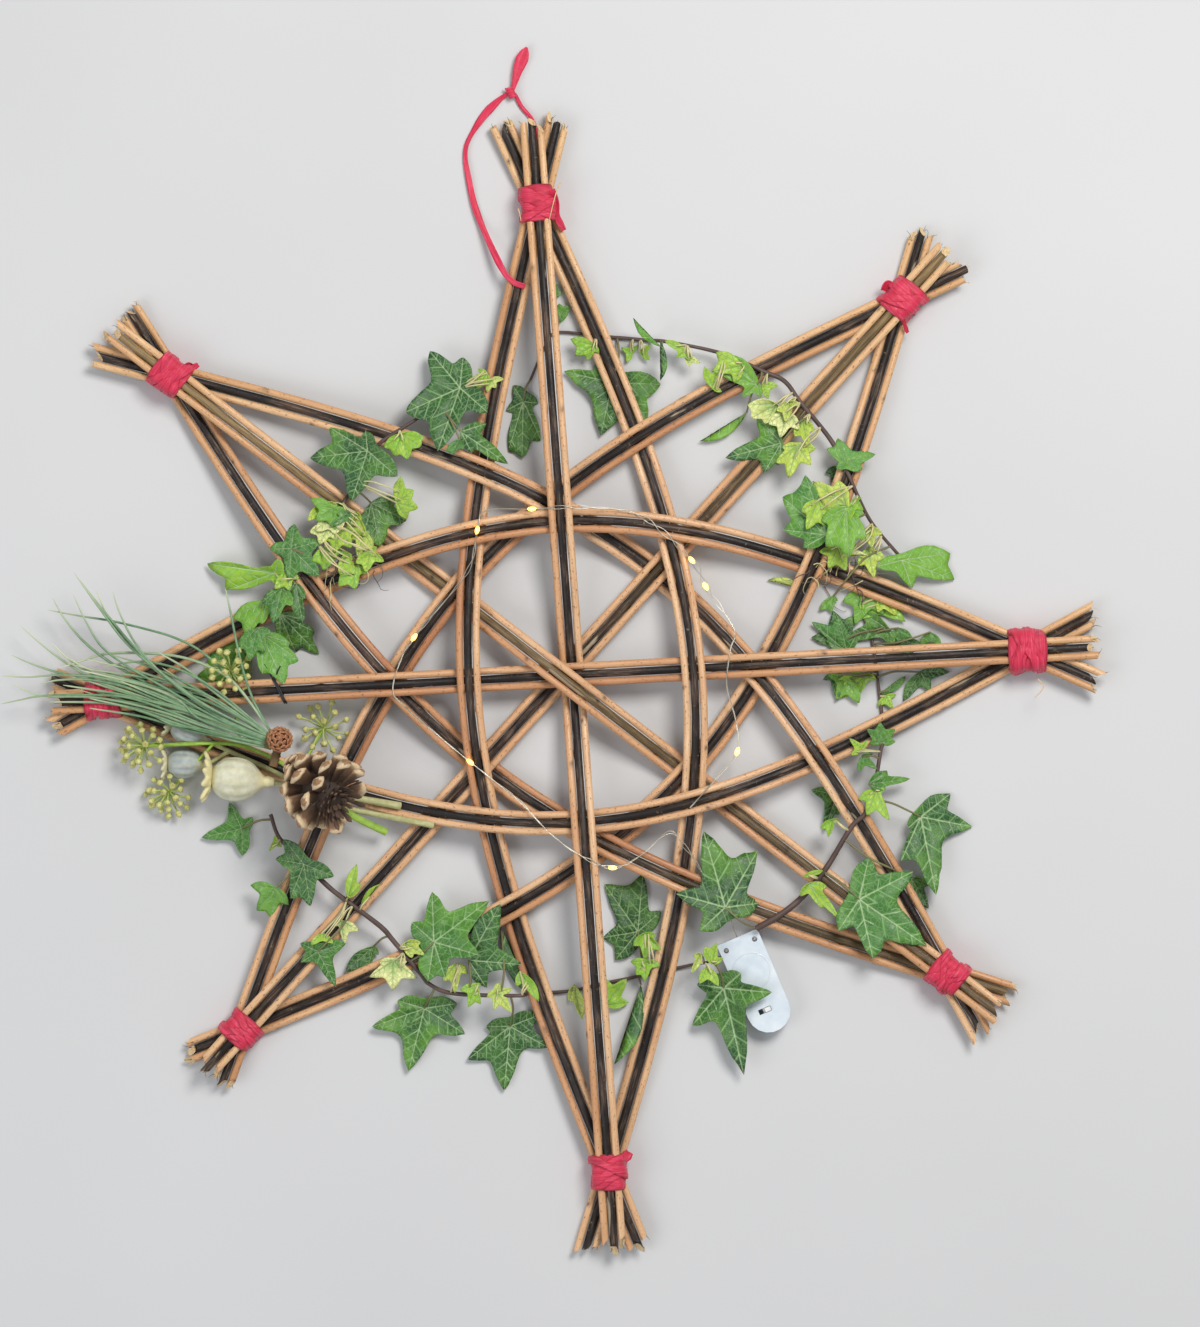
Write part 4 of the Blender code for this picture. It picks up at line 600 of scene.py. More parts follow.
class Binding:
    """A band of raffia round the rods at one point of the star."""

    def __init__(self, name):
        distance, bearing = POINTS[name]
        turn = math.radians(bearing)
        self.along = np.array([math.cos(turn), math.sin(turn), 0.0])
        self.left = np.array([-self.along[1], self.along[0], 0.0])
        self.middle = at(distance * math.cos(turn), distance * math.sin(turn))
        self.shape = Shape()
        self.seed = float(rng.uniform(0, 99))
        self.half, self.bulge = np.array(BINDING_FORMS[name]) * MM
        self.grid = np.linspace(-1, 1, 9) * self.half * BINDING_DRAW
        outlines = [wound_outline(self.rods_here(), t) for t in self.grid]
        self.places, self.outs = (np.array([o[k] for o in outlines]) for k in range(2))
        self.girth = run_of(self.places[4])[-1]

    def rods_here(self):
        """Each rod near the binding: distances along it, offsets across it, heights and radius."""
        rods = []
        for line, radius in ROD_LINES.values():
            local = line - self.middle
            local = local[np.linalg.norm(local, axis=1) < 45 * MM]
            if len(local) > 5:
                t = local @ self.along
                order = np.argsort(t)
                rods.append((t[order], (local @ self.left)[order], local[order, 2], radius))
        return rods

    def skin(self, t, lap, height, low=0.15 * MM):
        """Places at distances along the binding, shares of a turn and heights over the rods."""
        count = len(self.grid)
        spot = np.clip(np.interp(t * BINDING_DRAW, self.grid, np.arange(count)), 0, count - 1.001)
        a, turn = spot.astype(int), (lap % 1.0) * GIRTH_STEPS
        i = turn.astype(int) % GIRTH_STEPS
        j = (i + 1) % GIRTH_STEPS
        f, g = (spot - a)[..., None], (turn - turn.astype(int))[..., None]

        def mixed(values):
            near = values[a, i] * (1 - g) + values[a, j] * g
            far = values[a + 1, i] * (1 - g) + values[a + 1, j] * g
            return near * (1 - f) + far * f

        spread = mixed(self.places) + mixed(self.outs) * height[..., None]
        spread[..., 1] = np.maximum(spread[..., 1], low)
        flat = self.middle + self.along * t[..., None] + self.left * spread[..., :1]
        return flat + np.array([0.0, 0.0, 1.0]) * spread[..., 1:]

    def bulk(self, t, lap, seed):
        """Height of the wound raffia over the rods, a barrel with creases round it, and the painted shade for
        its sunken creases.
        """
        round_ = np.stack([np.cos(2 * math.pi * lap), np.sin(2 * math.pi * lap)], axis=-1)
        spots = np.concatenate([t[..., None], round_], axis=-1).reshape(-1, 3)
        slope = 2.2 * math.cos(seed)
        crease = [
            noise.noise(Vector((x / (2.0 * MM) + slope * b, a * 0.8, b * 0.8 + seed))) for x, a, b in spots
        ]
        lump = [noise.noise(Vector((x / (6 * MM), a * 1.8, b * 1.8 + seed + 9))) for x, a, b in spots]
        crease, lump = np.reshape(crease, t.shape), np.reshape(lump, t.shape)
        barrel = 1 - 0.7 * (t / self.half) ** 2
        height = MM * (0.5 + 0.42 * crease + 0.8 * lump) + self.bulge * barrel
        # The second value is painted shade, darker where a crease sinks.
        return height, np.clip(-1.2 * crease - 0.2, 0, 0.45)

    def band(self, lap, middle, width, lift, seed):
        """A length of raffia laid round the rods, its edges tucked down and darkened with painted shade."""
        across = np.linspace(-1, 1, BAND_COLUMNS)[None]
        t = middle[:, None] + across * width[:, None] / 2
        lap = np.broadcast_to(lap[:, None], t.shape)
        tuck = np.interp(np.abs(across), (0.0, 0.86, 1.0), (0.0, 0.06, 1.0))
        bulk, dent = self.bulk(t, lap, seed)
        height = bulk + lift - tuck * (lift + 0.55 * MM)
        points = self.skin(t, lap, height, 0.6 * MM - lift / 3)
        rows, columns = t.shape
        index = np.arange(rows * columns).reshape(rows, columns)
        quads = [index[:-1, :-1], index[1:, :-1], index[1:, 1:], index[:-1, 1:]]
        faces = np.stack(quads, axis=-1).reshape(-1, 4)
        uvs = np.stack([lap * self.girth, t + seed * MM], axis=-1).reshape(-1, 2) * UV_SCALE
        # Painted shade along the tucked edges, added to that in the creases.
        dent = np.maximum(dent, 0.8 * tuck).ravel()
        self.shape.add(points.reshape(-1, 3), faces[:, ::-1], 0, uvs, dent=dent)

    def wind(self):
        lap = np.linspace(0, 1, BAND_STEPS)
        wander = 0.9 * MM * np.sin(2 * math.pi * lap + self.seed)
        widths = 2 * self.half + 0.8 * MM * np.cos(4 * math.pi * lap)
        self.band(lap, wander * 0.6, widths, 0.0, self.seed)
        for n, (place, tilt, width) in enumerate(BAND_COURSES):
            tilt = tilt * MM * rng.choice((-1, 1)) * rng.uniform(0.7, 1.3)
            middle = place * MM + tilt * np.sin(2 * math.pi * lap) + 0.5 * MM * wobble(lap, 4, self.seed + n)
            widths = width * MM * (1 + 0.18 * wobble(lap, 3, self.seed + n + 5))
            room = self.half - widths / 2
            middle = np.clip(middle, -room, room)
            self.band(lap, middle, widths, (0.6 + 0.4 * n) * MM, self.seed + 3.1 * n + 2)

    def tail(self, route, width):
        """A loose end, along a route in plan from the binding's middle."""
        z = self.skin(np.zeros(1), np.array([0.5]), np.full(1, 1.2 * MM))[0, 2]
        down = np.linspace(0.9, 0.45, len(route))
        points = [self.middle + np.array([x * MM, y * MM, z * k]) for (x, y), k in zip(route, down)]
        line = smooth_line(np.array(points), 0.8 * MM)
        share = np.linspace(0, 1, len(line))
        widths = width * MM * np.interp(share, (0, 0.3, 0.8, 1), (1.0, 0.6, 1.0, 0.7))
        lean = (0.5 * np.sin(share * 5 + self.seed), 0.4 * np.cos(share * 4), np.ones(len(line)))
        strip(self.shape, line, np.column_stack(lean), widths, 0.45 * MM, self.seed + width, 0.7)

    def wisp(self, route):
        """A pale fibre that sticks out."""
        z = self.skin(np.zeros(1), np.array([0.5]), np.full(1, 2.2 * MM))[0, 2]
        points = [self.middle + np.array([x * MM, y * MM, z]) for x, y in route]
        line = smooth_line(np.array(points), 1.0 * MM)
        sweep(self.shape, line, round_sections(np.linspace(0.4, 0.2, len(line)) * MM, 6), 1)


def binding(name):
    """One binding with its loose ends and wisps."""
    made = Binding(name)
    made.wind()
    for route, width in BINDING_TAILS.get(name, ()):
        made.tail(route, width)
    for route in BINDING_WISPS.get(name, ()):
        made.wisp(route)
    obj = made.shape.build(f"raffia_{name}", [RED, CUT])
    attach(obj, "star")
    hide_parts(f"raffia_binding_{name}")


for point in POINTS:
    binding(point)

# The hanging loop's route, in mm from the hub.
LOOP_ROUTE = (
    (-21, 290), (-22, 306), (-23, 316), (-30, 325), (-36, 333), (-48, 324), (-57, 312),
    (-62, 300), (-60, 283), (-55, 263), (-42, 234), (-35, 225), (-28, 222),
)
# Width of the loop's strip along its run, both in mm.
LOOP_WIDTHS = (
    (0, 38, 47, 54, 64, 72, 80, 92, 107, 128, 145, 160, 171, 182),
    (2.6, 2.4, 2.2, 2.6, 5.2, 4.6, 3.0, 2.4, 3.2, 4.0, 3.2, 3.8, 3.2, 3.4),
)
# The route of its tail from the knot, in mm from the hub.
LOOP_TAIL = ((-36, 333), (-34, 338), (-32, 346), (-27, 359))


def hanging_loop():
    """The hanging loop, then its knot and tail, which go with it."""
    solid = tree_of([NODES["hanging_loop"]])
    plan = smooth_line([at(x, y)[:2] for x, y in LOOP_ROUTE], 1.5 * MM)
    z = settle(heights(solid, plan) - 0.7 * MM, 8)
    line = np.column_stack([plan, z])
    run = run_of(line)
    lean = 0.5 * np.sin(run * 60)
    side = frames(line)[1]
    ups = np.array([0.0, 0.0, 1.0]) + side * lean[:, None]
    shape = Shape()
    widths = MM * np.interp(run / MM, *LOOP_WIDTHS) * (1 + 0.1 * wobble(run, 90, 3))
    strip(shape, line, ups, widths, 0.6 * MM, 4.4, 0.4)
    loop = shape.build("hanging_loop_strip", [RED])
    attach(loop, "star")
    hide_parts("hanging_loop")

    tail = Shape()
    knot = line[((plan - at(*LOOP_TAIL[0])[:2]) ** 2).sum(axis=1).argmin()]
    way = smooth_line([(*at(x, y)[:2], knot[2]) for x, y in LOOP_TAIL], 1.0 * MM)
    share = np.linspace(0, 1, len(way))
    widths = MM * np.interp(share, (0, 0.2, 0.55, 0.75, 0.9, 1), (2.2, 3.0, 6.2, 7.4, 5.0, 1.2))
    strip(tail, way, np.tile((0.15, 0.1, 1.0), (len(way), 1)), widths, 0.6 * MM, 8.1, 0.5)
    ring = np.linspace(0, 2.6 * 2 * math.pi, 90)
    wrap = np.column_stack([np.cos(ring) * 2.0 * MM, ring * 0.30 * MM - 2.4 * MM, np.sin(ring) * 1.7 * MM])
    turn = Matrix.Rotation(math.radians(25), 3, "Z")
    ups = np.column_stack([np.cos(ring), 0 * ring, np.sin(ring)]) @ np.array(turn).T
    spot = knot + np.array([0.0, 0.0, 0.4 * MM])
    strip(tail, wrap @ np.array(turn).T + spot, ups, 2.8 * MM, 0.6 * MM, 2.2, 0.25)
    knot_piece = tail.build("hanging_loop_knot", [RED])
    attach(knot_piece, "star")


hanging_loop()


# Lights

# The wire's route from the case and the places of its lights, in mm from the hub.
WIRE_ROUTE = (
    (88, -136), (79, -122), (70, -107), (63, -97), (54, -89), (38, -102), (22, -109), (2, -101),
    (-15, -88), (-31, -71), (-45, -60), (-59, -49), (-76, -35), (-97, -17), (-103, -8), (-99, 8),
    (-91, 22), (-61, 59), (-55, 83), (-50, 94), (-24, 95), (6, 96), (38, 91), (67, 66), (75, 51),
    (91, 27), (89, 15), (87, -5), (92, -25), (93, -43), (83, -56), (66, -75),
)
LED_PLACES = ((22, -109), (-59, -49), (-91, 22), (-55, 83), (-24, 95), (67, 66), (75, 51), (93, -43))
# The wire's two strands: length of a twist, and how far they part.
WIRE_TWIST, WIRE_SPREAD = 26 * MM, 2.4 * MM
# The light case: middle of its square end in mm from the hub, its bearing, its wire's height in mm.
CASE_AT = (93.0, -149.0)
CASE_BEARING = -66.8
CASE_NOTCH = 7.4
# On the case's cover, in mm along it and across it: its screws, and the ring over its cells.
CASE_SCREWS = ((4.6, -8.6), (4.8, 8.8))
CASE_RING_AT, CASE_RING_RADIUS = 21.0, 10.6


def case_plan(u, v):
    """A place on the light case, along and across it from the middle of its square end."""
    turn = math.radians(CASE_BEARING)
    c, s = math.cos(turn), math.sin(turn)
    return CASE_AT[0] + u * c - v * s, CASE_AT[1] + u * s + v * c


def glow():
    s = Shader("light_glow")
    cloud = s.noise(s.place((1500.0, 1500.0, 1500.0)), 1.0, 2.0)
    s.set(Base_Color=s.ramp(cloud, (0.3, srgb(255, 220, 120)), (0.7, srgb(255, 240, 180))), Roughness=0.2)
    s.set(Emission_Color=(1.0, 0.66, 0.14, 1.0), Emission_Strength=6.0)
    return s.material


def lens():
    s = Shader("light_lens")
    cloud = s.noise(s.place((900.0, 900.0, 900.0)), 1.0, 2.0)
    s.set(Base_Color=s.ramp(cloud, (0.3, srgb(255, 226, 150)), (0.7, srgb(255, 244, 205))), Roughness=0.12)
    s.set(Transmission_Weight=0.6, IOR=1.45, Emission_Color=(1.0, 0.62, 0.12, 1.0), Emission_Strength=1.5)
    return s.material


def bead(shape, middle, axis, radius, length, slot, sides=14, rings=11):
    """A rounded drop along an axis."""
    axis = unit(axis)
    share = np.linspace(0, math.pi, rings)
    line = middle + np.outer(-np.cos(share) * length / 2, axis)
    radii = np.maximum(1e-6, radius * np.sin(share))
    up = (0.0, 0.0, 1.0) if abs(axis[2]) < 0.9 else (1.0, 0.0, 0.0)
    side = unit(np.cross(up, axis))
    across = tuple(np.tile(v, (rings, 1)) for v in (axis, side, np.cross(axis, side)))
    sweep(shape, line, round_sections(radii, sides), slot, across=across)


def light_string():
    """The twisted pair of wires along its route, and the lights on it."""
    start = [at(*case_plan(1.2, 0.0))[:2], at(*case_plan(-4.0, 0.0))[:2]]
    plan = smooth_line(start + [at(x, y)[:2] for x, y in WIRE_ROUTE], 1.2 * MM)
    radius = 0.45 * MM
    z = laid(RODS, plan, radius, 0.15)
    run = run_of(plan)
    z = np.maximum(z, (CASE_NOTCH * MM) - run * 0.4)
    z[run < 3 * MM] = CASE_NOTCH * MM
    settle(z[:31], 12)
    line = np.column_stack([plan, z])
    run = run_of(line)
    _, side, up = frames(line)
    shape = Shape()
    for phase in (0.0, math.pi):
        a = run * 2 * math.pi / WIRE_TWIST + phase
        loose = np.clip(wobble(run, 26, 3), 0, 1) * np.interp(run, (0, 0.03), (0, 1))
        apart = 0.2 * MM + WIRE_SPREAD * loose
        strand = line + (apart * np.cos(a))[:, None] * side + 0.2 * MM * np.sin(a)[:, None] * up
        sweep(shape, strand, round_sections(np.full(len(strand), 0.22 * MM), 6))
    wire = shape.build("light_wire", [WIRE])
    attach(wire, "star")
    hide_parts("light_string")
    lights = Shape()
    for place in LED_PLACES:
        n = int(((plan - at(*place)[:2]) ** 2).sum(axis=1).argmin())
        heading = line[min(n + 2, len(line) - 1)] - line[n - 2]
        spot = line[n] + np.array([0.0, 0.0, 0.9 * MM])
        bead(lights, spot, heading, 1.35 * MM, 5.0 * MM, 0)
        bead(lights, spot + np.array([0.0, 0.0, 0.2 * MM]), heading, 0.7 * MM, 1.8 * MM, 1)
    leds = lights.build("light_beads", [lens(), glow()])
    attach(leds, "star")


def case_plastic(name, dark, light, rough):
    """Milky plastic with a faint cloud in it."""
    s = Shader(name)
    cloud = s.noise(s.place((90.0, 90.0, 90.0)), 1.0, 3.0)
    grain = s.noise(s.place((1800.0, 1800.0, 1800.0)), 1.0, 2.0)
    s.set(Base_Color=s.ramp(cloud, (0.3, srgb(*dark)), (0.7, srgb(*light))), Roughness=rough)
    s.set(Subsurface_Weight=0.35, Subsurface_Radius=(0.004, 0.004, 0.005), Coat_Weight=0.15)
    s.set(Normal=s.bump(grain, 0.00004, 0.5))
    return s.material


def steel(name, dark, light):
    s = Shader(name)
    brushed = s.noise(s.place((60.0, 2400.0, 900.0)), 1.0, 3.0)
    s.set(Base_Color=s.ramp(brushed, (0.3, srgb(*dark)), (0.7, srgb(*light))), Metallic=0.9)
    s.set(Roughness=s.ramp(brushed, (0.3, 0.28), (0.7, 0.42)), Normal=s.bump(brushed, 0.00005, 0.5))
    return s.material


def button(shape, place, radius, height, slot, sides=24):
    """A low round button with a soft edge, standing on a place."""
    profile = np.array([(-0.3, 1.0), (0.45, 1.0), (0.8, 0.93), (0.96, 0.75), (1.0, 0.4), (1.0, 0.02)])
    line = place + np.outer(profile[:, 0] * height, (0.0, 0.0, 1.0))
    across = tuple(np.tile(v, (len(line), 1)) for v in np.eye(3)[[2, 0, 1]])
    sweep(shape, line, round_sections(profile[:, 1] * radius, sides), slot, across=across)


def case_ring(shape, u, radius, top):
    """A faint raised ring over the cells."""
    turn = np.linspace(0, 2 * math.pi, 97)
    spots = [case_plan(u + radius * math.cos(a), radius * math.sin(a)) for a in turn]
    line = np.array([at(*spot, top) for spot in spots])
    sweep(shape, line, round_sections(np.full(len(line), 0.45 * MM), 8, 0.35), 0, caps=False)


def case_fittings():
    """Materials for the light case's own solids, and its screws and ring."""
    cover = case_plastic("case_plastic", (206, 217, 226), (229, 236, 241), 0.3)
    knob = case_plastic("switch_plastic", (222, 224, 222), (244, 244, 242), 0.45)
    metal = steel("cell_steel", (150, 150, 148), (214, 214, 210))
    dull = steel("screw_steel", (82, 84, 86), (142, 144, 146))
    for node, look in (("case_tray", cover), ("case_cover", cover), ("switch_slider", knob),
                       ("coin_cell_lower", metal), ("coin_cell_upper", metal)):
        for slot in NODES[node].material_slots:
            slot.material = look
    for node in ("case_tray", "case_cover"):
        edge = NODES[node].modifiers.new("soft_edge", "BEVEL")
        edge.width, edge.segments = 0.5 * MM, 3
    top = float(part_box("case_cover")[1][2]) / MM
    shape = Shape()
    case_ring(shape, CASE_RING_AT, CASE_RING_RADIUS, top)
    for u, v in CASE_SCREWS:
        place = at(*case_plan(u, v), top)
        button(shape, place, 1.5 * MM, 0.35 * MM, 1)
        for a in (0.4, 0.4 + math.pi / 2):
            way = np.array([math.cos(a), math.sin(a), 0.0]) * 0.95 * MM
            lift = np.array([0.0, 0.0, 0.36 * MM])
            groove = np.array([place - way + lift, place + way + lift])
            sweep(shape, groove, round_sections(np.full(2, 0.2 * MM), 6, 0.4), 2)
    fittings = shape.build("case_fittings", [cover, dull, WIRE])
    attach(fittings, "star")


light_string()
case_fittings()


# Ivy

# Leaf colours from dark to pale, then where a leaf or a stretch of stem lies.
DEEP, MID, BRIGHT, LIME, YELLOW, CREAM = 0.10, 0.26, 0.44, 0.62, 0.78, 0.95
SOLID, OVER, UNDER = 0, 1, -1
# Stems: places in mm from the hub, over or under the rods.
STEMS = {
    "upper_left": (
        (-185, 16, OVER), (-178, 33, OVER), (-165, 48, OVER), (-153, 63, OVER), (-146, 75, OVER),
        (-127, 106, OVER), (-114, 129, OVER), (-98, 141, OVER), (-79, 153, OVER), (-64, 164, OVER),
    ),
    "upper_right": (
        (-25, 169, UNDER), (-17, 187, UNDER), (-10, 196, UNDER), (15, 194, UNDER), (38, 192, UNDER),
        (56, 190, OVER), (84, 184, OVER), (107, 174, OVER), (120, 168, OVER), (129, 156, OVER),
        (146, 135, OVER), (155, 118, OVER), (161, 104, OVER), (170, 87, OVER), (187, 67, OVER),
    ),
    "right": (
        (162, 40, UNDER), (170, 21, UNDER), (174, -8, UNDER), (177, -34, UNDER), (175, -42, OVER),
        (171, -64, OVER), (166, -78, OVER), (158, -86, OVER), (144, -109, OVER), (131, -125, OVER),
        (119, -135, OVER), (104, -144, OVER),
    ),
    "bottom": (
        (84, -160, OVER), (76, -163, OVER), (67, -165, UNDER), (39, -171, UNDER), (15, -176, UNDER),
        (-3, -180, UNDER), (-23, -181, UNDER), (-34, -182, OVER), (-68, -181, OVER), (-82, -176, OVER),
        (-88, -169, OVER), (-103, -151, OVER), (-110, -143, OVER), (-127, -130, OVER), (-140, -120, OVER),
        (-156, -104, OVER), (-168, -92, OVER), (-173, -79, OVER),
    ),
}
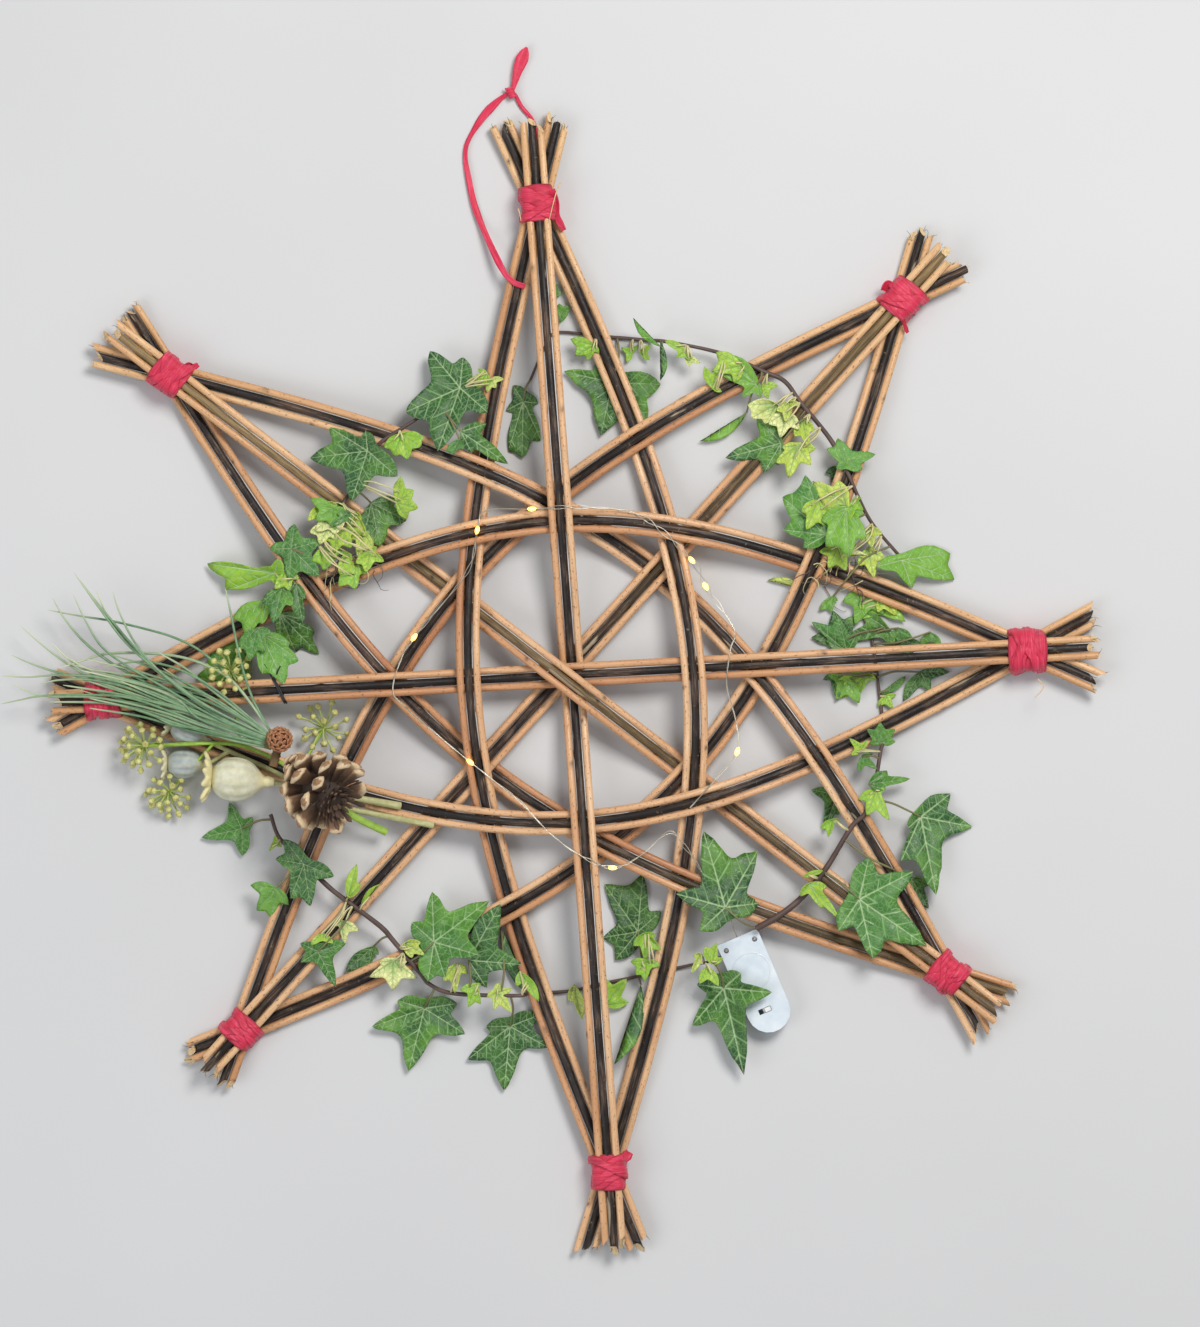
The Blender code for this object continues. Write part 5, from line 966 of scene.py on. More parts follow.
# Leaves: whether the solid has the leaf or it lies over or under the rods, its colour, then
# the end of its stalk and the tips of its lobes, as pixels of the photo.
LEAVES = {
    "upper_left": (
        (SOLID, DEEP, (460, 388), (488, 413), (438, 452), (405, 413), (429, 350), (463, 357)),
        (SOLID, DEEP, (461, 432), (486, 424), (508, 464), (472, 453)),
        (SOLID, DEEP, (368, 451), (398, 477), (352, 501), (310, 458), (331, 428), (366, 431)),
        (SOLID, DEEP, (371, 503), (396, 499), (407, 521), (380, 547), (363, 541)),
        (SOLID, MID, (292, 549), (295, 524), (322, 541), (321, 577), (290, 581), (270, 549)),
        (SOLID, LIME, (275, 573), (279, 559), (256, 569), (205, 563), (226, 590), (277, 586)),
        (SOLID, BRIGHT, (267, 601), (233, 617), (246, 636), (263, 624), (279, 613)),
        (SOLID, DEEP, (280, 614), (303, 619), (315, 632), (318, 654), (295, 652), (280, 638)),
        (SOLID, BRIGHT, (262, 634), (290, 643), (299, 660), (284, 683), (263, 674), (251, 654)),
        (SOLID, CREAM, (344, 504), (318, 513), (316, 531), (336, 535)),
        (OVER, LIME, (397, 503), (401, 476), (414, 490), (418, 508), (407, 520)),
        (OVER, LIME, (402, 435), (384, 447), (394, 456), (408, 460), (421, 447), (424, 437)),
        (OVER, LIME, (487, 373), (466, 383), (475, 391), (488, 388), (478, 369)),
        (OVER, YELLOW, (490, 379), (504, 379), (496, 388), (487, 393)),
        (OVER, MID, (460, 440), (446, 452), (453, 455), (464, 450)),
        (OVER, MID, (351, 513), (331, 527), (338, 513), (349, 525)),
        (OVER, YELLOW, (324, 504), (308, 521), (330, 520), (338, 505)),
        (OVER, YELLOW, (355, 512), (349, 543), (367, 536), (362, 519)),
        (OVER, LIME, (338, 545), (312, 560), (325, 570), (346, 556)),
        (OVER, LIME, (347, 552), (340, 575), (356, 574), (353, 560)),
        (OVER, LIME, (371, 552), (356, 563), (366, 573), (385, 562), (377, 547)),
        (OVER, LIME, (288, 571), (275, 589), (300, 579), (290, 591)),
        (OVER, DEEP, (296, 583), (279, 606), (304, 625), (306, 598)),
        (OVER, MID, (258, 628), (238, 647), (250, 660), (266, 652), (273, 633)),
        (OVER, MID, (283, 587), (262, 603), (274, 624), (294, 606)),
        (OVER, BRIGHT, (333, 509), (311, 499), (316, 521), (336, 530), (349, 513)),
        (OVER, LIME, (342, 530), (321, 538), (333, 553), (352, 548), (358, 531)),
        (OVER, YELLOW, (364, 531), (348, 538), (358, 557), (373, 549)),
        (OVER, LIME, (353, 565), (339, 586), (356, 589), (369, 573)),
        (OVER, CREAM, (330, 524), (310, 532), (320, 545), (337, 540)),
        (UNDER, BRIGHT, (246, 697), (234, 640), (210, 650), (197, 676), (212, 704)),
    ),
    "upper_right": (
        (SOLID, DEEP, (523, 401), (513, 385), (506, 410), (508, 452), (522, 458), (541, 440), (538, 403)),
        (SOLID, DEEP, (612, 382), (564, 371), (601, 435), (648, 421), (662, 384), (596, 361)),
        (SOLID, BRIGHT, (757, 385), (760, 398), (742, 397), (717, 371), (727, 354)),
        (SOLID, DEEP, (781, 443), (757, 417), (725, 458), (764, 473), (779, 465)),
        (SOLID, BRIGHT, (846, 463), (826, 449), (836, 468), (862, 470), (876, 454), (838, 438)),
        (SOLID, MID, (826, 535), (805, 474), (782, 497), (784, 530), (803, 548), (835, 510)),
        (SOLID, YELLOW, (845, 505), (812, 481), (811, 520), (829, 531), (847, 516), (838, 480)),
        (SOLID, BRIGHT, (902, 560), (952, 553), (955, 580), (912, 588), (876, 567)),
        (OVER, BRIGHT, (661, 347), (633, 318)),
        (OVER, DEEP, (660, 341), (660, 382)),
        (OVER, LIME, (594, 345), (570, 339), (575, 356), (588, 360), (599, 353)),
        (OVER, LIME, (631, 351), (621, 347), (627, 362), (638, 345)),
        (OVER, LIME, (640, 352), (651, 344), (650, 360)),
        (OVER, LIME, (686, 351), (664, 341), (676, 358), (690, 361)),
        (OVER, CREAM, (685, 356), (700, 363), (690, 367)),
        (UNDER, MID, (551, 298), (562, 291), (557, 283)),
        (UNDER, MID, (555, 324), (570, 305), (559, 303)),
        (OVER, LIME, (713, 388), (704, 367), (722, 392), (716, 372)),
        (OVER, LIME, (762, 384), (779, 386), (768, 399)),
        (OVER, CREAM, (777, 404), (747, 405), (752, 418), (765, 424), (780, 421)),
        (OVER, YELLOW, (790, 402), (776, 411), (785, 423), (800, 405)),
        (UNDER, BRIGHT, (747, 412), (699, 441)),
        (OVER, YELLOW, (797, 446), (776, 462), (788, 479), (811, 465), (816, 449), (782, 447)),
        (UNDER, DEEP, (783, 430), (796, 421), (790, 441), (777, 419)),
        (UNDER, DEEP, (838, 466), (826, 472), (832, 483)),
        (OVER, LIME, (853, 499), (848, 522), (863, 511), (861, 498)),
        (OVER, DEEP, (841, 522), (829, 541), (849, 546), (853, 530)),
        (OVER, CREAM, (836, 556), (869, 556)),
        (OVER, YELLOW, (868, 527), (883, 534), (872, 549), (861, 540)),
        (UNDER, YELLOW, (806, 590), (767, 580)),
        (UNDER, BRIGHT, (834, 596), (820, 610), (832, 613), (838, 601)),
        (OVER, BRIGHT, (846, 508), (820, 521), (825, 547), (848, 558), (866, 538), (863, 514)),
        (OVER, LIME, (838, 548), (819, 552), (828, 568), (846, 571), (856, 553)),
        (OVER, LIME, (818, 500), (800, 512), (806, 530), (826, 526)),
        (OVER, CREAM, (788, 411), (768, 424), (780, 438), (799, 430)),
        (OVER, YELLOW, (802, 420), (815, 431), (808, 447), (794, 437)),
        (OVER, LIME, (742, 366), (716, 352), (712, 372), (734, 384)),
        (OVER, YELLOW, (868, 548), (858, 566), (874, 578), (886, 560)),
    ),
    "right": (
        (SOLID, DEEP, (844, 641), (833, 610), (811, 637), (853, 616)),
        (SOLID, DEEP, (885, 627), (862, 612), (840, 641), (894, 648)),
        (SOLID, LIME, (867, 675), (835, 684), (843, 698), (858, 696), (877, 680)),
        (SOLID, DEEP, (921, 672), (950, 672), (931, 691), (904, 701)),
        (SOLID, MID, (868, 784), (887, 770), (910, 779), (885, 790)),
        (SOLID, DEEP, (921, 817), (951, 794), (973, 827), (936, 895), (900, 862), (908, 828)),
        (SOLID, MID, (859, 899), (869, 856), (914, 871), (927, 946), (873, 960), (838, 930)),
        (SOLID, LIME, (809, 884), (839, 918), (821, 908), (800, 896), (827, 886)),
        (SOLID, DEEP, (725, 907), (703, 830), (758, 850), (760, 903), (675, 893), (699, 931)),
        (OVER, MID, (879, 742), (867, 729), (880, 722), (895, 729), (895, 742), (869, 743)),
        (OVER, LIME, (862, 749), (849, 738), (851, 755), (867, 740)),
        (OVER, MID, (862, 756), (859, 772), (877, 769), (873, 753)),
        (OVER, LIME, (876, 791), (858, 799), (866, 815), (889, 820), (885, 789)),
        (OVER, LIME, (833, 820), (820, 828), (828, 837), (839, 820)),
        (UNDER, DEEP, (837, 795), (811, 790), (825, 831), (839, 815)),
        (OVER, LIME, (812, 874), (803, 876), (823, 870)),
        (UNDER, DEEP, (912, 878), (931, 885), (929, 909), (917, 906)),
        (UNDER, LIME, (880, 604), (851, 603), (862, 619), (906, 622)),
        (UNDER, MID, (899, 628), (913, 638), (902, 647), (889, 640)),
        (UNDER, YELLOW, (866, 594), (881, 589), (873, 601)),
        (UNDER, MID, (931, 632), (920, 646), (942, 646)),
        (UNDER, LIME, (886, 696), (878, 707), (894, 710), (897, 695)),
        (UNDER, MID, (889, 691), (906, 676), (881, 694)),
        (UNDER, DEEP, (834, 674), (823, 680), (838, 701)),
        (UNDER, BRIGHT, (870, 590), (842, 602), (856, 624), (884, 614)),
        (UNDER, YELLOW, (882, 597), (906, 600), (897, 616), (878, 613)),
        (UNDER, MID, (848, 652), (826, 640), (812, 622), (838, 616), (858, 632)),
        (UNDER, BRIGHT, (848, 678), (827, 674), (836, 700), (860, 704)),
        (UNDER, DEEP, (905, 640), (888, 652), (912, 660), (924, 646)),
    ),
    "bottom": (
        (SOLID, DEEP, (724, 988), (744, 1075), (773, 992), (741, 973), (697, 985), (692, 1026)),
        (SOLID, DEEP, (638, 932), (604, 884), (643, 874), (661, 912), (603, 938), (615, 961)),
        (SOLID, DEEP, (641, 985), (613, 1066)),
        (SOLID, DEEP, (510, 1027), (504, 1092), (467, 1060), (486, 1027), (540, 1015), (548, 1048)),
        (SOLID, DEEP, (424, 1009), (408, 1073), (372, 1027), (397, 1001), (457, 1004), (466, 1035)),
        (SOLID, MID, (434, 942), (412, 922), (432, 891), (490, 900), (480, 955), (445, 976), (428, 982)),
        (SOLID, DEEP, (469, 960), (501, 903), (522, 964), (487, 988)),
        (SOLID, MID, (318, 951), (346, 943), (336, 987), (301, 962), (301, 943)),
        (SOLID, DEEP, (304, 864), (334, 876), (311, 906), (291, 898), (276, 859), (284, 839)),
        (SOLID, BRIGHT, (276, 888), (250, 885), (256, 911), (271, 917), (289, 905)),
        (SOLID, MID, (241, 829), (252, 817), (229, 802), (200, 838), (242, 856)),
        (SOLID, LIME, (348, 898), (357, 864), (361, 884)),
        (OVER, LIME, (712, 964), (704, 946), (717, 942), (723, 958)),
        (OVER, YELLOW, (701, 953), (691, 973), (693, 956)),
        (OVER, LIME, (707, 966), (699, 984), (719, 986)),
        (OVER, CREAM, (393, 961), (369, 977), (379, 962), (393, 991), (417, 978), (407, 961)),
        (OVER, YELLOW, (497, 992), (487, 997), (494, 1009), (513, 1013), (513, 988), (500, 982)),
        (OVER, YELLOW, (457, 963), (443, 980), (455, 993), (468, 974)),
        (OVER, LIME, (476, 985), (460, 990), (468, 1007), (481, 1004), (481, 984)),
        (OVER, YELLOW, (404, 943), (412, 958), (425, 955), (421, 942)),
        (UNDER, DEEP, (501, 928), (541, 1003)),
        (OVER, LIME, (520, 971), (539, 1001), (517, 986)),
        (UNDER, LIME, (605, 1006), (627, 979), (629, 1003), (606, 979)),
        (OVER, LIME, (645, 934), (633, 946), (645, 960), (661, 950), (656, 935)),
        (OVER, LIME, (646, 961), (630, 962), (636, 975), (645, 981), (661, 966)),
        (UNDER, YELLOW, (574, 985), (569, 1002), (582, 1020)),
        (OVER, LIME, (361, 907), (381, 883)),
        (OVER, CREAM, (341, 921), (334, 926), (345, 944), (359, 930)),
        (UNDER, DEEP, (373, 947), (345, 972), (366, 976), (378, 955)),
        (OVER, LIME, (276, 842), (269, 851), (282, 847), (275, 835)),
        (OVER, LIME, (322, 933), (311, 945), (334, 943)),
    ),
}
# Thickness of each trail's stem at five even places along it, in mm.
STEM_GIRTH = {
    "upper_left": (2.0, 2.0, 2.0, 2.2, 1.6),
    "upper_right": (1.4, 2.0, 2.4, 2.6, 1.8),
    "right": (1.6, 2.0, 2.4, 3.2, 3.8),
    "bottom": (1.6, 2.0, 2.2, 3.0, 2.2),
}
# How far each trail's lobes bulge.
LOBE_SWELL = {"upper_left": 0.10, "upper_right": 0.08, "right": 0.06, "bottom": 0.06}
# Tangles of fine roots on the stems: middle, half width and half height, as pixels of the photo.
ROOTS = {"upper_left": (350, 562, 38, 22), "upper_right": (838, 572, 34, 26)}
LOBE_STEPS = 6
LEAF_RINGS = 8


def leaf_look():
    s = Shader("ivy_leaf")
    off, run = s.value("off"), s.value("run")
    waver = s.noise(s.place((420.0, 420.0, 420.0)), 1.0, 2.0)
    off = s.math("ADD", off, s.math("MULTIPLY", s.math("SUBTRACT", waver, 0.5), 0.012))
    thin = s.math("MULTIPLY_ADD", run, -0.011, 0.021)
    veins = s.math("SUBTRACT", 1.0, s.math("DIVIDE", s.math("ABSOLUTE", off), thin), clamp=True)
    wave = s.math("FRACT", s.math("MULTIPLY", s.math("SUBTRACT", run, off), 4.6))
    aside = s.math("ABSOLUTE", s.math("SUBTRACT", wave, 0.5))
    ribs = s.math("SUBTRACT", 1.0, s.math("MULTIPLY", aside, 9.0), clamp=True)
    ribs = s.math("MULTIPLY", ribs, s.math("SUBTRACT", 1.0, s.math("MULTIPLY", off, 2.6), clamp=True))
    where = {"Vector": s.place((340.0, 340.0, 340.0)), "Scale": 1.0}
    cells = s.add("ShaderNodeTexVoronoi", where, feature="DISTANCE_TO_EDGE")
    ribs = s.math("MAXIMUM", ribs, s.ramp(cells, (0.0, 0.45), (0.09, 0.0)))
    mottle = s.noise(s.place((260.0, 260.0, 260.0)), 1.0, 4.0)
    broad = s.noise(s.place((46.0, 46.0, 46.0)), 1.0, 2.0)
    tone = s.math("ADD", s.value("tone"), s.math("MULTIPLY", s.math("SUBTRACT", mottle, 0.5), 0.24))
    base = s.ramp(
        tone, (0.0, srgb(28, 66, 32)), (0.16, srgb(48, 94, 46)), (0.38, srgb(80, 140, 50)),
        (0.58, srgb(138, 186, 44)), (0.76, srgb(190, 208, 78)), (0.96, srgb(226, 226, 156)),
    )
    # Painted light: darker leaves turn a brighter warm green in broad patches towards their edges, as if lit
    # through.
    lit = s.math("MULTIPLY", s.ramp(broad, (0.42, 0.0), (0.62, 1.0)), s.value("warm"))
    base = s.mix(s.math("MULTIPLY", lit, s.value("edge")), base, srgb(104, 160, 36))
    centre = s.math("SUBTRACT", 1.0, s.math("MULTIPLY", s.value("edge"), 1.25), clamp=True)
    base = s.mix(s.math("MULTIPLY", centre, s.value("pale")), base, srgb(96, 152, 62))
    base = s.mix(s.math("MULTIPLY", ribs, 0.8), base, srgb(156, 196, 128))
    base = s.mix(s.math("MULTIPLY", veins, 0.85), base, srgb(190, 216, 164))
    sunk = s.math("MAXIMUM", veins, s.math("MULTIPLY", ribs, 0.7))
    height = s.math("SUBTRACT", s.math("MULTIPLY", mottle, 0.5), sunk)
    s.set(Base_Color=base, Roughness=s.ramp(mottle, (0.3, 0.34), (0.7, 0.5)))
    s.set(Normal=s.bump(height, 0.0006, 0.8))
    return s.material


def stem_look():
    s = Shader("ivy_stem")
    streak = s.noise(s.uv((0.8, 8.0, 1.0)), 1.0, 4.0)
    knots = s.noise(s.uv((0.6, 0.3, 1.0)), 1.0, 2.0)
    tone = s.math("ADD", s.value("tone"), s.math("MULTIPLY", s.math("SUBTRACT", knots, 0.5), 0.4))
    base = s.ramp(
        tone, (0.05, srgb(52, 40, 38)), (0.35, srgb(112, 88, 80)),
        (0.6, srgb(134, 140, 84)), (0.95, srgb(222, 212, 160)),
    )
    base = s.mix(s.ramp(streak, (0.45, 0.0), (0.7, 0.5)), base, srgb(60, 46, 40))
    s.set(Base_Color=base, Roughness=0.55, Normal=s.bump(streak, 0.0003, 0.8))
    return s.material


LEAF, STEM = leaf_look(), stem_look()


def seen(x, y):
    """A pixel of the photo as a place in plan, in metres."""
    return np.array([(x - PHOTO_HUB[0]) * PIXEL + HUB[0], (PHOTO_HUB[1] - y) * PIXEL + HUB[1]])


def lobe_side(tip, dip, swell):
    """Points from a lobe's tip to the dip beside it, bulging away from the lobe's middle."""
    t = np.linspace(0, 1, LOBE_STEPS + 1)[:, None]
    way = dip - tip
    out = np.array([way[1], -way[0]])
    axis = unit(tip)
    if out @ (dip - (dip @ axis) * axis) < 0:
        out = -out
    return tip + way * t + out * swell * np.sin(math.pi * t) * (1.2 - 0.6 * t)


def leaf_rim(tips, swell):
    """Outline of a leaf round the end of its stalk, and which lobe each of its points is in."""
    reach = np.linalg.norm(tips, axis=1)
    heading = math.atan2(*tips.sum(axis=0)[::-1])
    lean = (np.arctan2(tips[:, 1], tips[:, 0]) - heading + math.pi) % (2 * math.pi) - math.pi
    order = np.argsort(lean)
    tips, reach, lean = tips[order], reach[order], lean[order]
    count = len(tips)

    def dip(turn, size):
        return size * np.array([math.cos(heading + turn), math.sin(heading + turn)])

    back_gap = 2 * math.pi - (lean[-1] - lean[0])
    depth = np.interp(back_gap, (1.0, 2.6, 4.2), (0.3, 0.14, 0.03))
    back = dip((lean[0] + lean[-1]) / 2 + math.pi, reach.max() * depth)
    dips = [back]
    for a in range(count - 1):
        depth = np.interp(lean[a + 1] - lean[a], (0.4, 1.05, 1.9), (0.90, 0.52, 0.34)) + 0.8 * swell
        dips.append(dip((lean[a] + lean[a + 1]) / 2, min(reach[a], reach[a + 1]) * depth))
    dips.append(back)
    rim = []
    for a in range(count):
        left = lobe_side(tips[a], dips[a], 0.22 if a == 0 else swell)
        right = lobe_side(tips[a], dips[a + 1], 0.22 if a == count - 1 else swell)
        rim += [left[::-1][:-1], right[:-1]]
    rim = np.vstack(rim)
    soft = np.full(len(rim), 0.5)
    soft[LOBE_STEPS :: 2 * LOBE_STEPS] = 0.03
    for _ in range(2):
        rim = rim + soft[:, None] * ((np.roll(rim, 1, axis=0) + np.roll(rim, -1, axis=0)) / 2 - rim)
    return rim, np.repeat(tips, 2 * LOBE_STEPS, axis=0)


def leaf_level(kind, solid, ground, base, spots, stem_z):
    """Height of a leaf at the end of its stalk, and its rises in the two plan directions."""
    heading = unit(spots.mean(axis=0))
    if kind == SOLID:
        hits = [(1.0, *spot, drop(solid, *(base + spot))) for spot in spots]
        rows = np.array([row for row in hits if row[3] is not None])
        while len(rows) > 3:
            fit = np.linalg.lstsq(rows[:, :3], rows[:, 3], rcond=None)[0]
            miss = np.abs(rows[:, :3] @ fit - rows[:, 3])
            if miss.max() < 0.7 * MM and np.linalg.norm(fit[1:]) < 0.9:
                return fit
            rows = np.delete(rows, miss.argmax(), axis=0)
    if kind == UNDER:
        return np.array([1.8 * MM, *(heading * rng.uniform(-0.02, 0.05))])
    rise = heading * rng.uniform(0.05, 0.40) + np.array([-heading[1], heading[0]]) * rng.uniform(-0.25, 0.25)
    met = [drop(ground, *(base + spot)) for spot in spots]
    need = [z - spot @ rise for z, spot in zip(met, spots) if z is not None]
    return np.array([max(need + [stem_z]) + 0.9 * MM, *rise])


def leaf_blade(shape, base, tips, level, tone, seed, lively, swell):
    """One leaf: a mesh of rays from its stalk to its outline, quilted between its veins."""
    rim, own = leaf_rim(tips, swell)
    rim = rim * (1 + 0.05 * np.array([noise.noise(Vector((*(p / 6 / MM), seed + 5))) for p in rim]))[:, None]
    count = len(rim)
    shares = np.linspace(0, 1, LEAF_RINGS + 1)[1:]
    plan = np.vstack([np.zeros((1, 2))] + [rim * s for s in shares])
    own = np.vstack([own[:1]] + [own] * LEAF_RINGS)
    edge = np.concatenate([[0.0], np.repeat(shares, count)])
    reach = np.linalg.norm(own, axis=1)
    size = reach.max()
    axis = own / reach[:, None]
    run = (plan * axis).sum(axis=1) / reach
    off = np.abs(axis[:, 0] * plan[:, 1] - axis[:, 1] * plan[:, 0]) / size
    ripple = np.array([noise.noise(Vector((*(p / size * 2.6), seed))) for p in plan])
    lift = 0.035 * (1 - np.exp(-((off / 0.05) ** 2))) * (1.2 - edge)
    lift += lively * 0.11 * ripple * edge + lively * rng.uniform(-0.02, 0.10) * edge**2
    lift += rng.uniform(-0.08, 0.05) * np.clip(run - 0.5, 0, 1) ** 2
    z = level[0] + plan @ level[1:] + size * lift
    points = np.column_stack([base + plan, np.maximum(z, 0.5 * MM)])
    faces = [(0, 1 + k, 1 + (k + 1) % count) for k in range(count)]
    for r in range(LEAF_RINGS - 1):
        a, b = 1 + r * count, 1 + (r + 1) * count
        faces += [(a + k, b + k, b + (k + 1) % count, a + (k + 1) % count) for k in range(count)]
    # How much painted light brightens this leaf's edges; pale leaves get none.
    warm = rng.uniform(0.2, 1.0) if tone < LIME else 0.0
    pale = 0.9 if tone == CREAM else 0.5 * (tone == YELLOW)
    tone = tone + rng.uniform(-0.05, 0.05)
    run = np.clip(run, 0, 1)
    shape.add(points, faces, 0, plan * UV_SCALE, tone=tone, pale=pale, warm=warm, edge=edge, off=off, run=run)


def stem_line(route):
    """A stem over and under the rods along its route."""
    fine = smooth_line(np.array([(*at(x, y)[:2], side * 0.01) for x, y, side in route]), 1.5 * MM)
    plan, over = fine[:, :2], fine[:, 2] > 0
    z = laid(RODS, plan, 1.0 * MM, 0.2)
    z[~over] = 1.2 * MM
    return np.column_stack([plan, settle(z, 8)])


def stalk(shape, start, end, arch, thick, tone):
    """A thin stalk from one place to another, arched upwards."""
    way = end - start
    length = np.linalg.norm(way)
    sway = np.cross(way, (0.0, 0.0, 1.0)) * rng.uniform(-0.12, 0.12)
    rise = np.array([0.0, 0.0, arch * length])
    points = [start, start + way * 0.35 + sway + rise, start + way * 0.7 + sway * 0.6 + rise, end]
    line = smooth_line(np.array(points), 1.5 * MM)
    sweep(shape, line, round_sections(np.linspace(1.0, 0.75, len(line)) * thick, 6), tone=tone)


def root_tangle(shape, tree, middle, half):
    """Fine curled roots over the rods."""
    for _ in range(22):
        a = rng.uniform(0, 2 * math.pi)
        spot = middle + half * np.array([math.cos(a), math.sin(a)]) * rng.uniform(0.1, 0.9)
        turn, bend = rng.uniform(0, 2 * math.pi), rng.uniform(-0.5, 0.5)
        plan = [spot]
        for _ in range(rng.randint(5, 10)):
            turn += bend + rng.uniform(-0.5, 0.5)
            plan.append(plan[-1] + 2.4 * MM * np.array([math.cos(turn), math.sin(turn)]))
        plan = smooth_line(np.array(plan), 1.0 * MM)
        z = laid(tree, plan, 0.3 * MM, 0.4) + rng.uniform(0, 1.5) * MM
        radii = np.linspace(0.34, 0.12, len(plan)) * MM
        tone = rng.choice((0.2, 0.35, 0.9))
        sweep(shape, np.column_stack([plan, z]), round_sections(radii, 5), tone=tone)


def ivy_trail(name):
    """The stem of a trail with its stalks, leaves and roots."""
    node = f"ivy_trail_{name}"
    solid = tree_of([NODES[node]])
    ground = tree_of(ROD_PIECES + [NODES[node]])
    stem = stem_line(STEMS[name])
    run = run_of(stem)
    stalks, blades = Shape(), Shape()
    girth = np.interp(run / run[-1], np.linspace(0, 1, 5), STEM_GIRTH[name]) / 2
    radii = MM * girth * (1 + 0.14 * wobble(run, 70, len(name)))
    sweep(stalks, stem, round_sections(radii, 8), tone=0.2)
    for n, (kind, tone, foot, *tips) in enumerate(LEAVES[name]):
        base = seen(*foot)
        tips = np.array([seen(*tip) for tip in tips]) - base
        start = stem[((stem[:, :2] - base) ** 2).sum(axis=1).argmin()]
        spots = np.vstack([tips * s for s in (0.3, 0.6, 0.85)] + [(tips[:-1] + tips[1:]) * 0.22])
        level = leaf_level(kind, solid, ground, base, spots, start[2])
        young = tone >= LIME
        lively = 1.5 if young else 0.8
        leaf_blade(blades, base, tips, level, tone, n * 3.7 + len(name), lively, LOBE_SWELL[name])
        end = np.array([*base, level[0]])
        stalk(stalks, start, end, 0.15, 0.7 * MM, 0.85 if young else 0.5)
        if young and kind == OVER:
            for _ in range(2):
                far = base + tips[rng.randint(len(tips))] * rng.uniform(0.2, 0.5)
                far = np.array([*far, level[0] + rng.uniform(0.5, 2.5) * MM])
                stalk(stalks, start, far, 0.35, 0.5 * MM, 1.0)
    if name in ROOTS:
        x, y, across, down = ROOTS[name]
        root_tangle(stalks, RODS, seen(x, y), np.array([across, down]) * PIXEL)
    leaves = blades.build(f"ivy_leaves_{name}", [LEAF])
    shell = leaves.modifiers.new("thickness", "SOLIDIFY")
    shell.thickness, shell.offset = 0.4 * MM, 0.0
    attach(leaves, "star")
    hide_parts(node)
    stems = stalks.build(f"ivy_stems_{name}", [STEM])
    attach(stems, "star")


for trail in STEMS:
    ivy_trail(trail)


# Posy

GOLDEN_ANGLE = math.radians(137.508)
# Routes of the stalks from the head to the cut end, in mm from the hub.
POPPY_ROUTE = ((-192, -59), (-177, -60), (-156, -64), (-133, -68), (-99, -74))
PAIR_ROUTE = ((-220, -32), (-209, -37), (-190, -46), (-176, -52), (-160, -60), (-133, -75), (-80, -85))
PAIR_BRANCH = ((-222, -50), (-211, -50), (-197, -43))
FLOWER_ROUTE = ((-247, -40), (-205, -38), (-190, -39), (-168, -48), (-146, -66), (-124, -81), (-107, -89))
# Umbels: place in mm, the way each faces, its spread in degrees, its reach in mm, where its branch
# leaves the stem, and how many buds it has.
UMBELS = (
    ((-245, -40), (-0.45, 0.0, 0.89), 82.0, 15.5, None, 26),
    ((-231, -66), (-0.2, -0.35, 0.92), 80.0, 14.0, (-205, -38), 22),
    ((-143, -30), (0.0, 0.1, 0.99), 84.0, 16.5, (-158, -56), 17),
    ((-196, 3), (0.0, 0.05, 0.99), 74.0, 15.0, (-190, -39), 20),
)
# Needles that stand out, from tip to root, as pixels of the photo.
NEEDLES = (
    ((75, 573), (101, 609), (131, 647), (176, 683), (218, 714), (266, 742)),
    ((77, 576), (108, 615), (142, 654), (182, 690), (222, 718), (265, 745)),
    ((97, 590), (112, 622), (140, 655), (180, 688), (226, 716), (268, 738)),
    ((114, 592), (122, 615), (138, 645), (165, 675), (208, 706), (268, 735)),
    ((74, 595), (87, 622), (103, 647), (128, 666), (170, 690), (214, 716), (264, 746)),
    ((53, 598), (66, 620), (86, 643), (112, 663), (146, 682), (196, 710), (264, 748)),
    ((48, 610), (80, 616), (112, 621), (146, 629), (176, 638), (204, 653), (236, 684), (270, 726)),
    ((20, 625), (45, 647), (70, 665), (98, 681), (152, 700), (208, 722), (263, 750)),
    ((52, 643), (70, 660), (92, 673), (132, 689), (190, 712), (263, 747)),
    ((12, 655), (30, 663), (50, 670), (72, 675), (102, 677), (152, 691), (208, 714), (265, 743)),
    ((2, 676), (30, 677), (60, 675), (102, 678), (152, 692), (210, 718), (264, 750)),
    ((12, 684), (28, 691), (46, 696), (100, 698), (160, 711), (212, 729), (263, 755)),
    ((1, 704), (20, 700), (42, 696), (80, 695), (126, 697), (170, 711), (220, 731), (264, 757)),
    ((40, 684), (60, 680), (92, 680), (132, 689), (190, 714), (264, 752)),
    ((70, 658), (84, 667), (108, 674), (150, 687), (200, 708), (266, 740)),
    ((60, 668), (82, 661), (106, 654), (140, 653), (176, 656), (206, 665), (236, 684), (271, 728)),
    ((104, 668), (118, 664), (150, 662), (186, 672), (222, 694), (269, 732)),
    ((50, 702), (80, 702), (106, 703), (142, 709), (182, 722), (226, 738), (265, 759)),
    ((226, 588), (232, 616), (238, 646), (246, 678), (257, 706), (270, 730)),
)
# The rest lie between two edges of the sheaf, each given at its tips, its waist and its roots.
SHEAF_UPPER = ((64, 652), (208, 690), (268, 728))
SHEAF_LOWER = ((58, 708), (198, 731), (265, 755))
SHEAF_COUNT, SHEAF_DEPTH = 22, 110
SHEAF_ROOT = (277, 741)
NEEDLE_RADIUS = 0.8 * MM
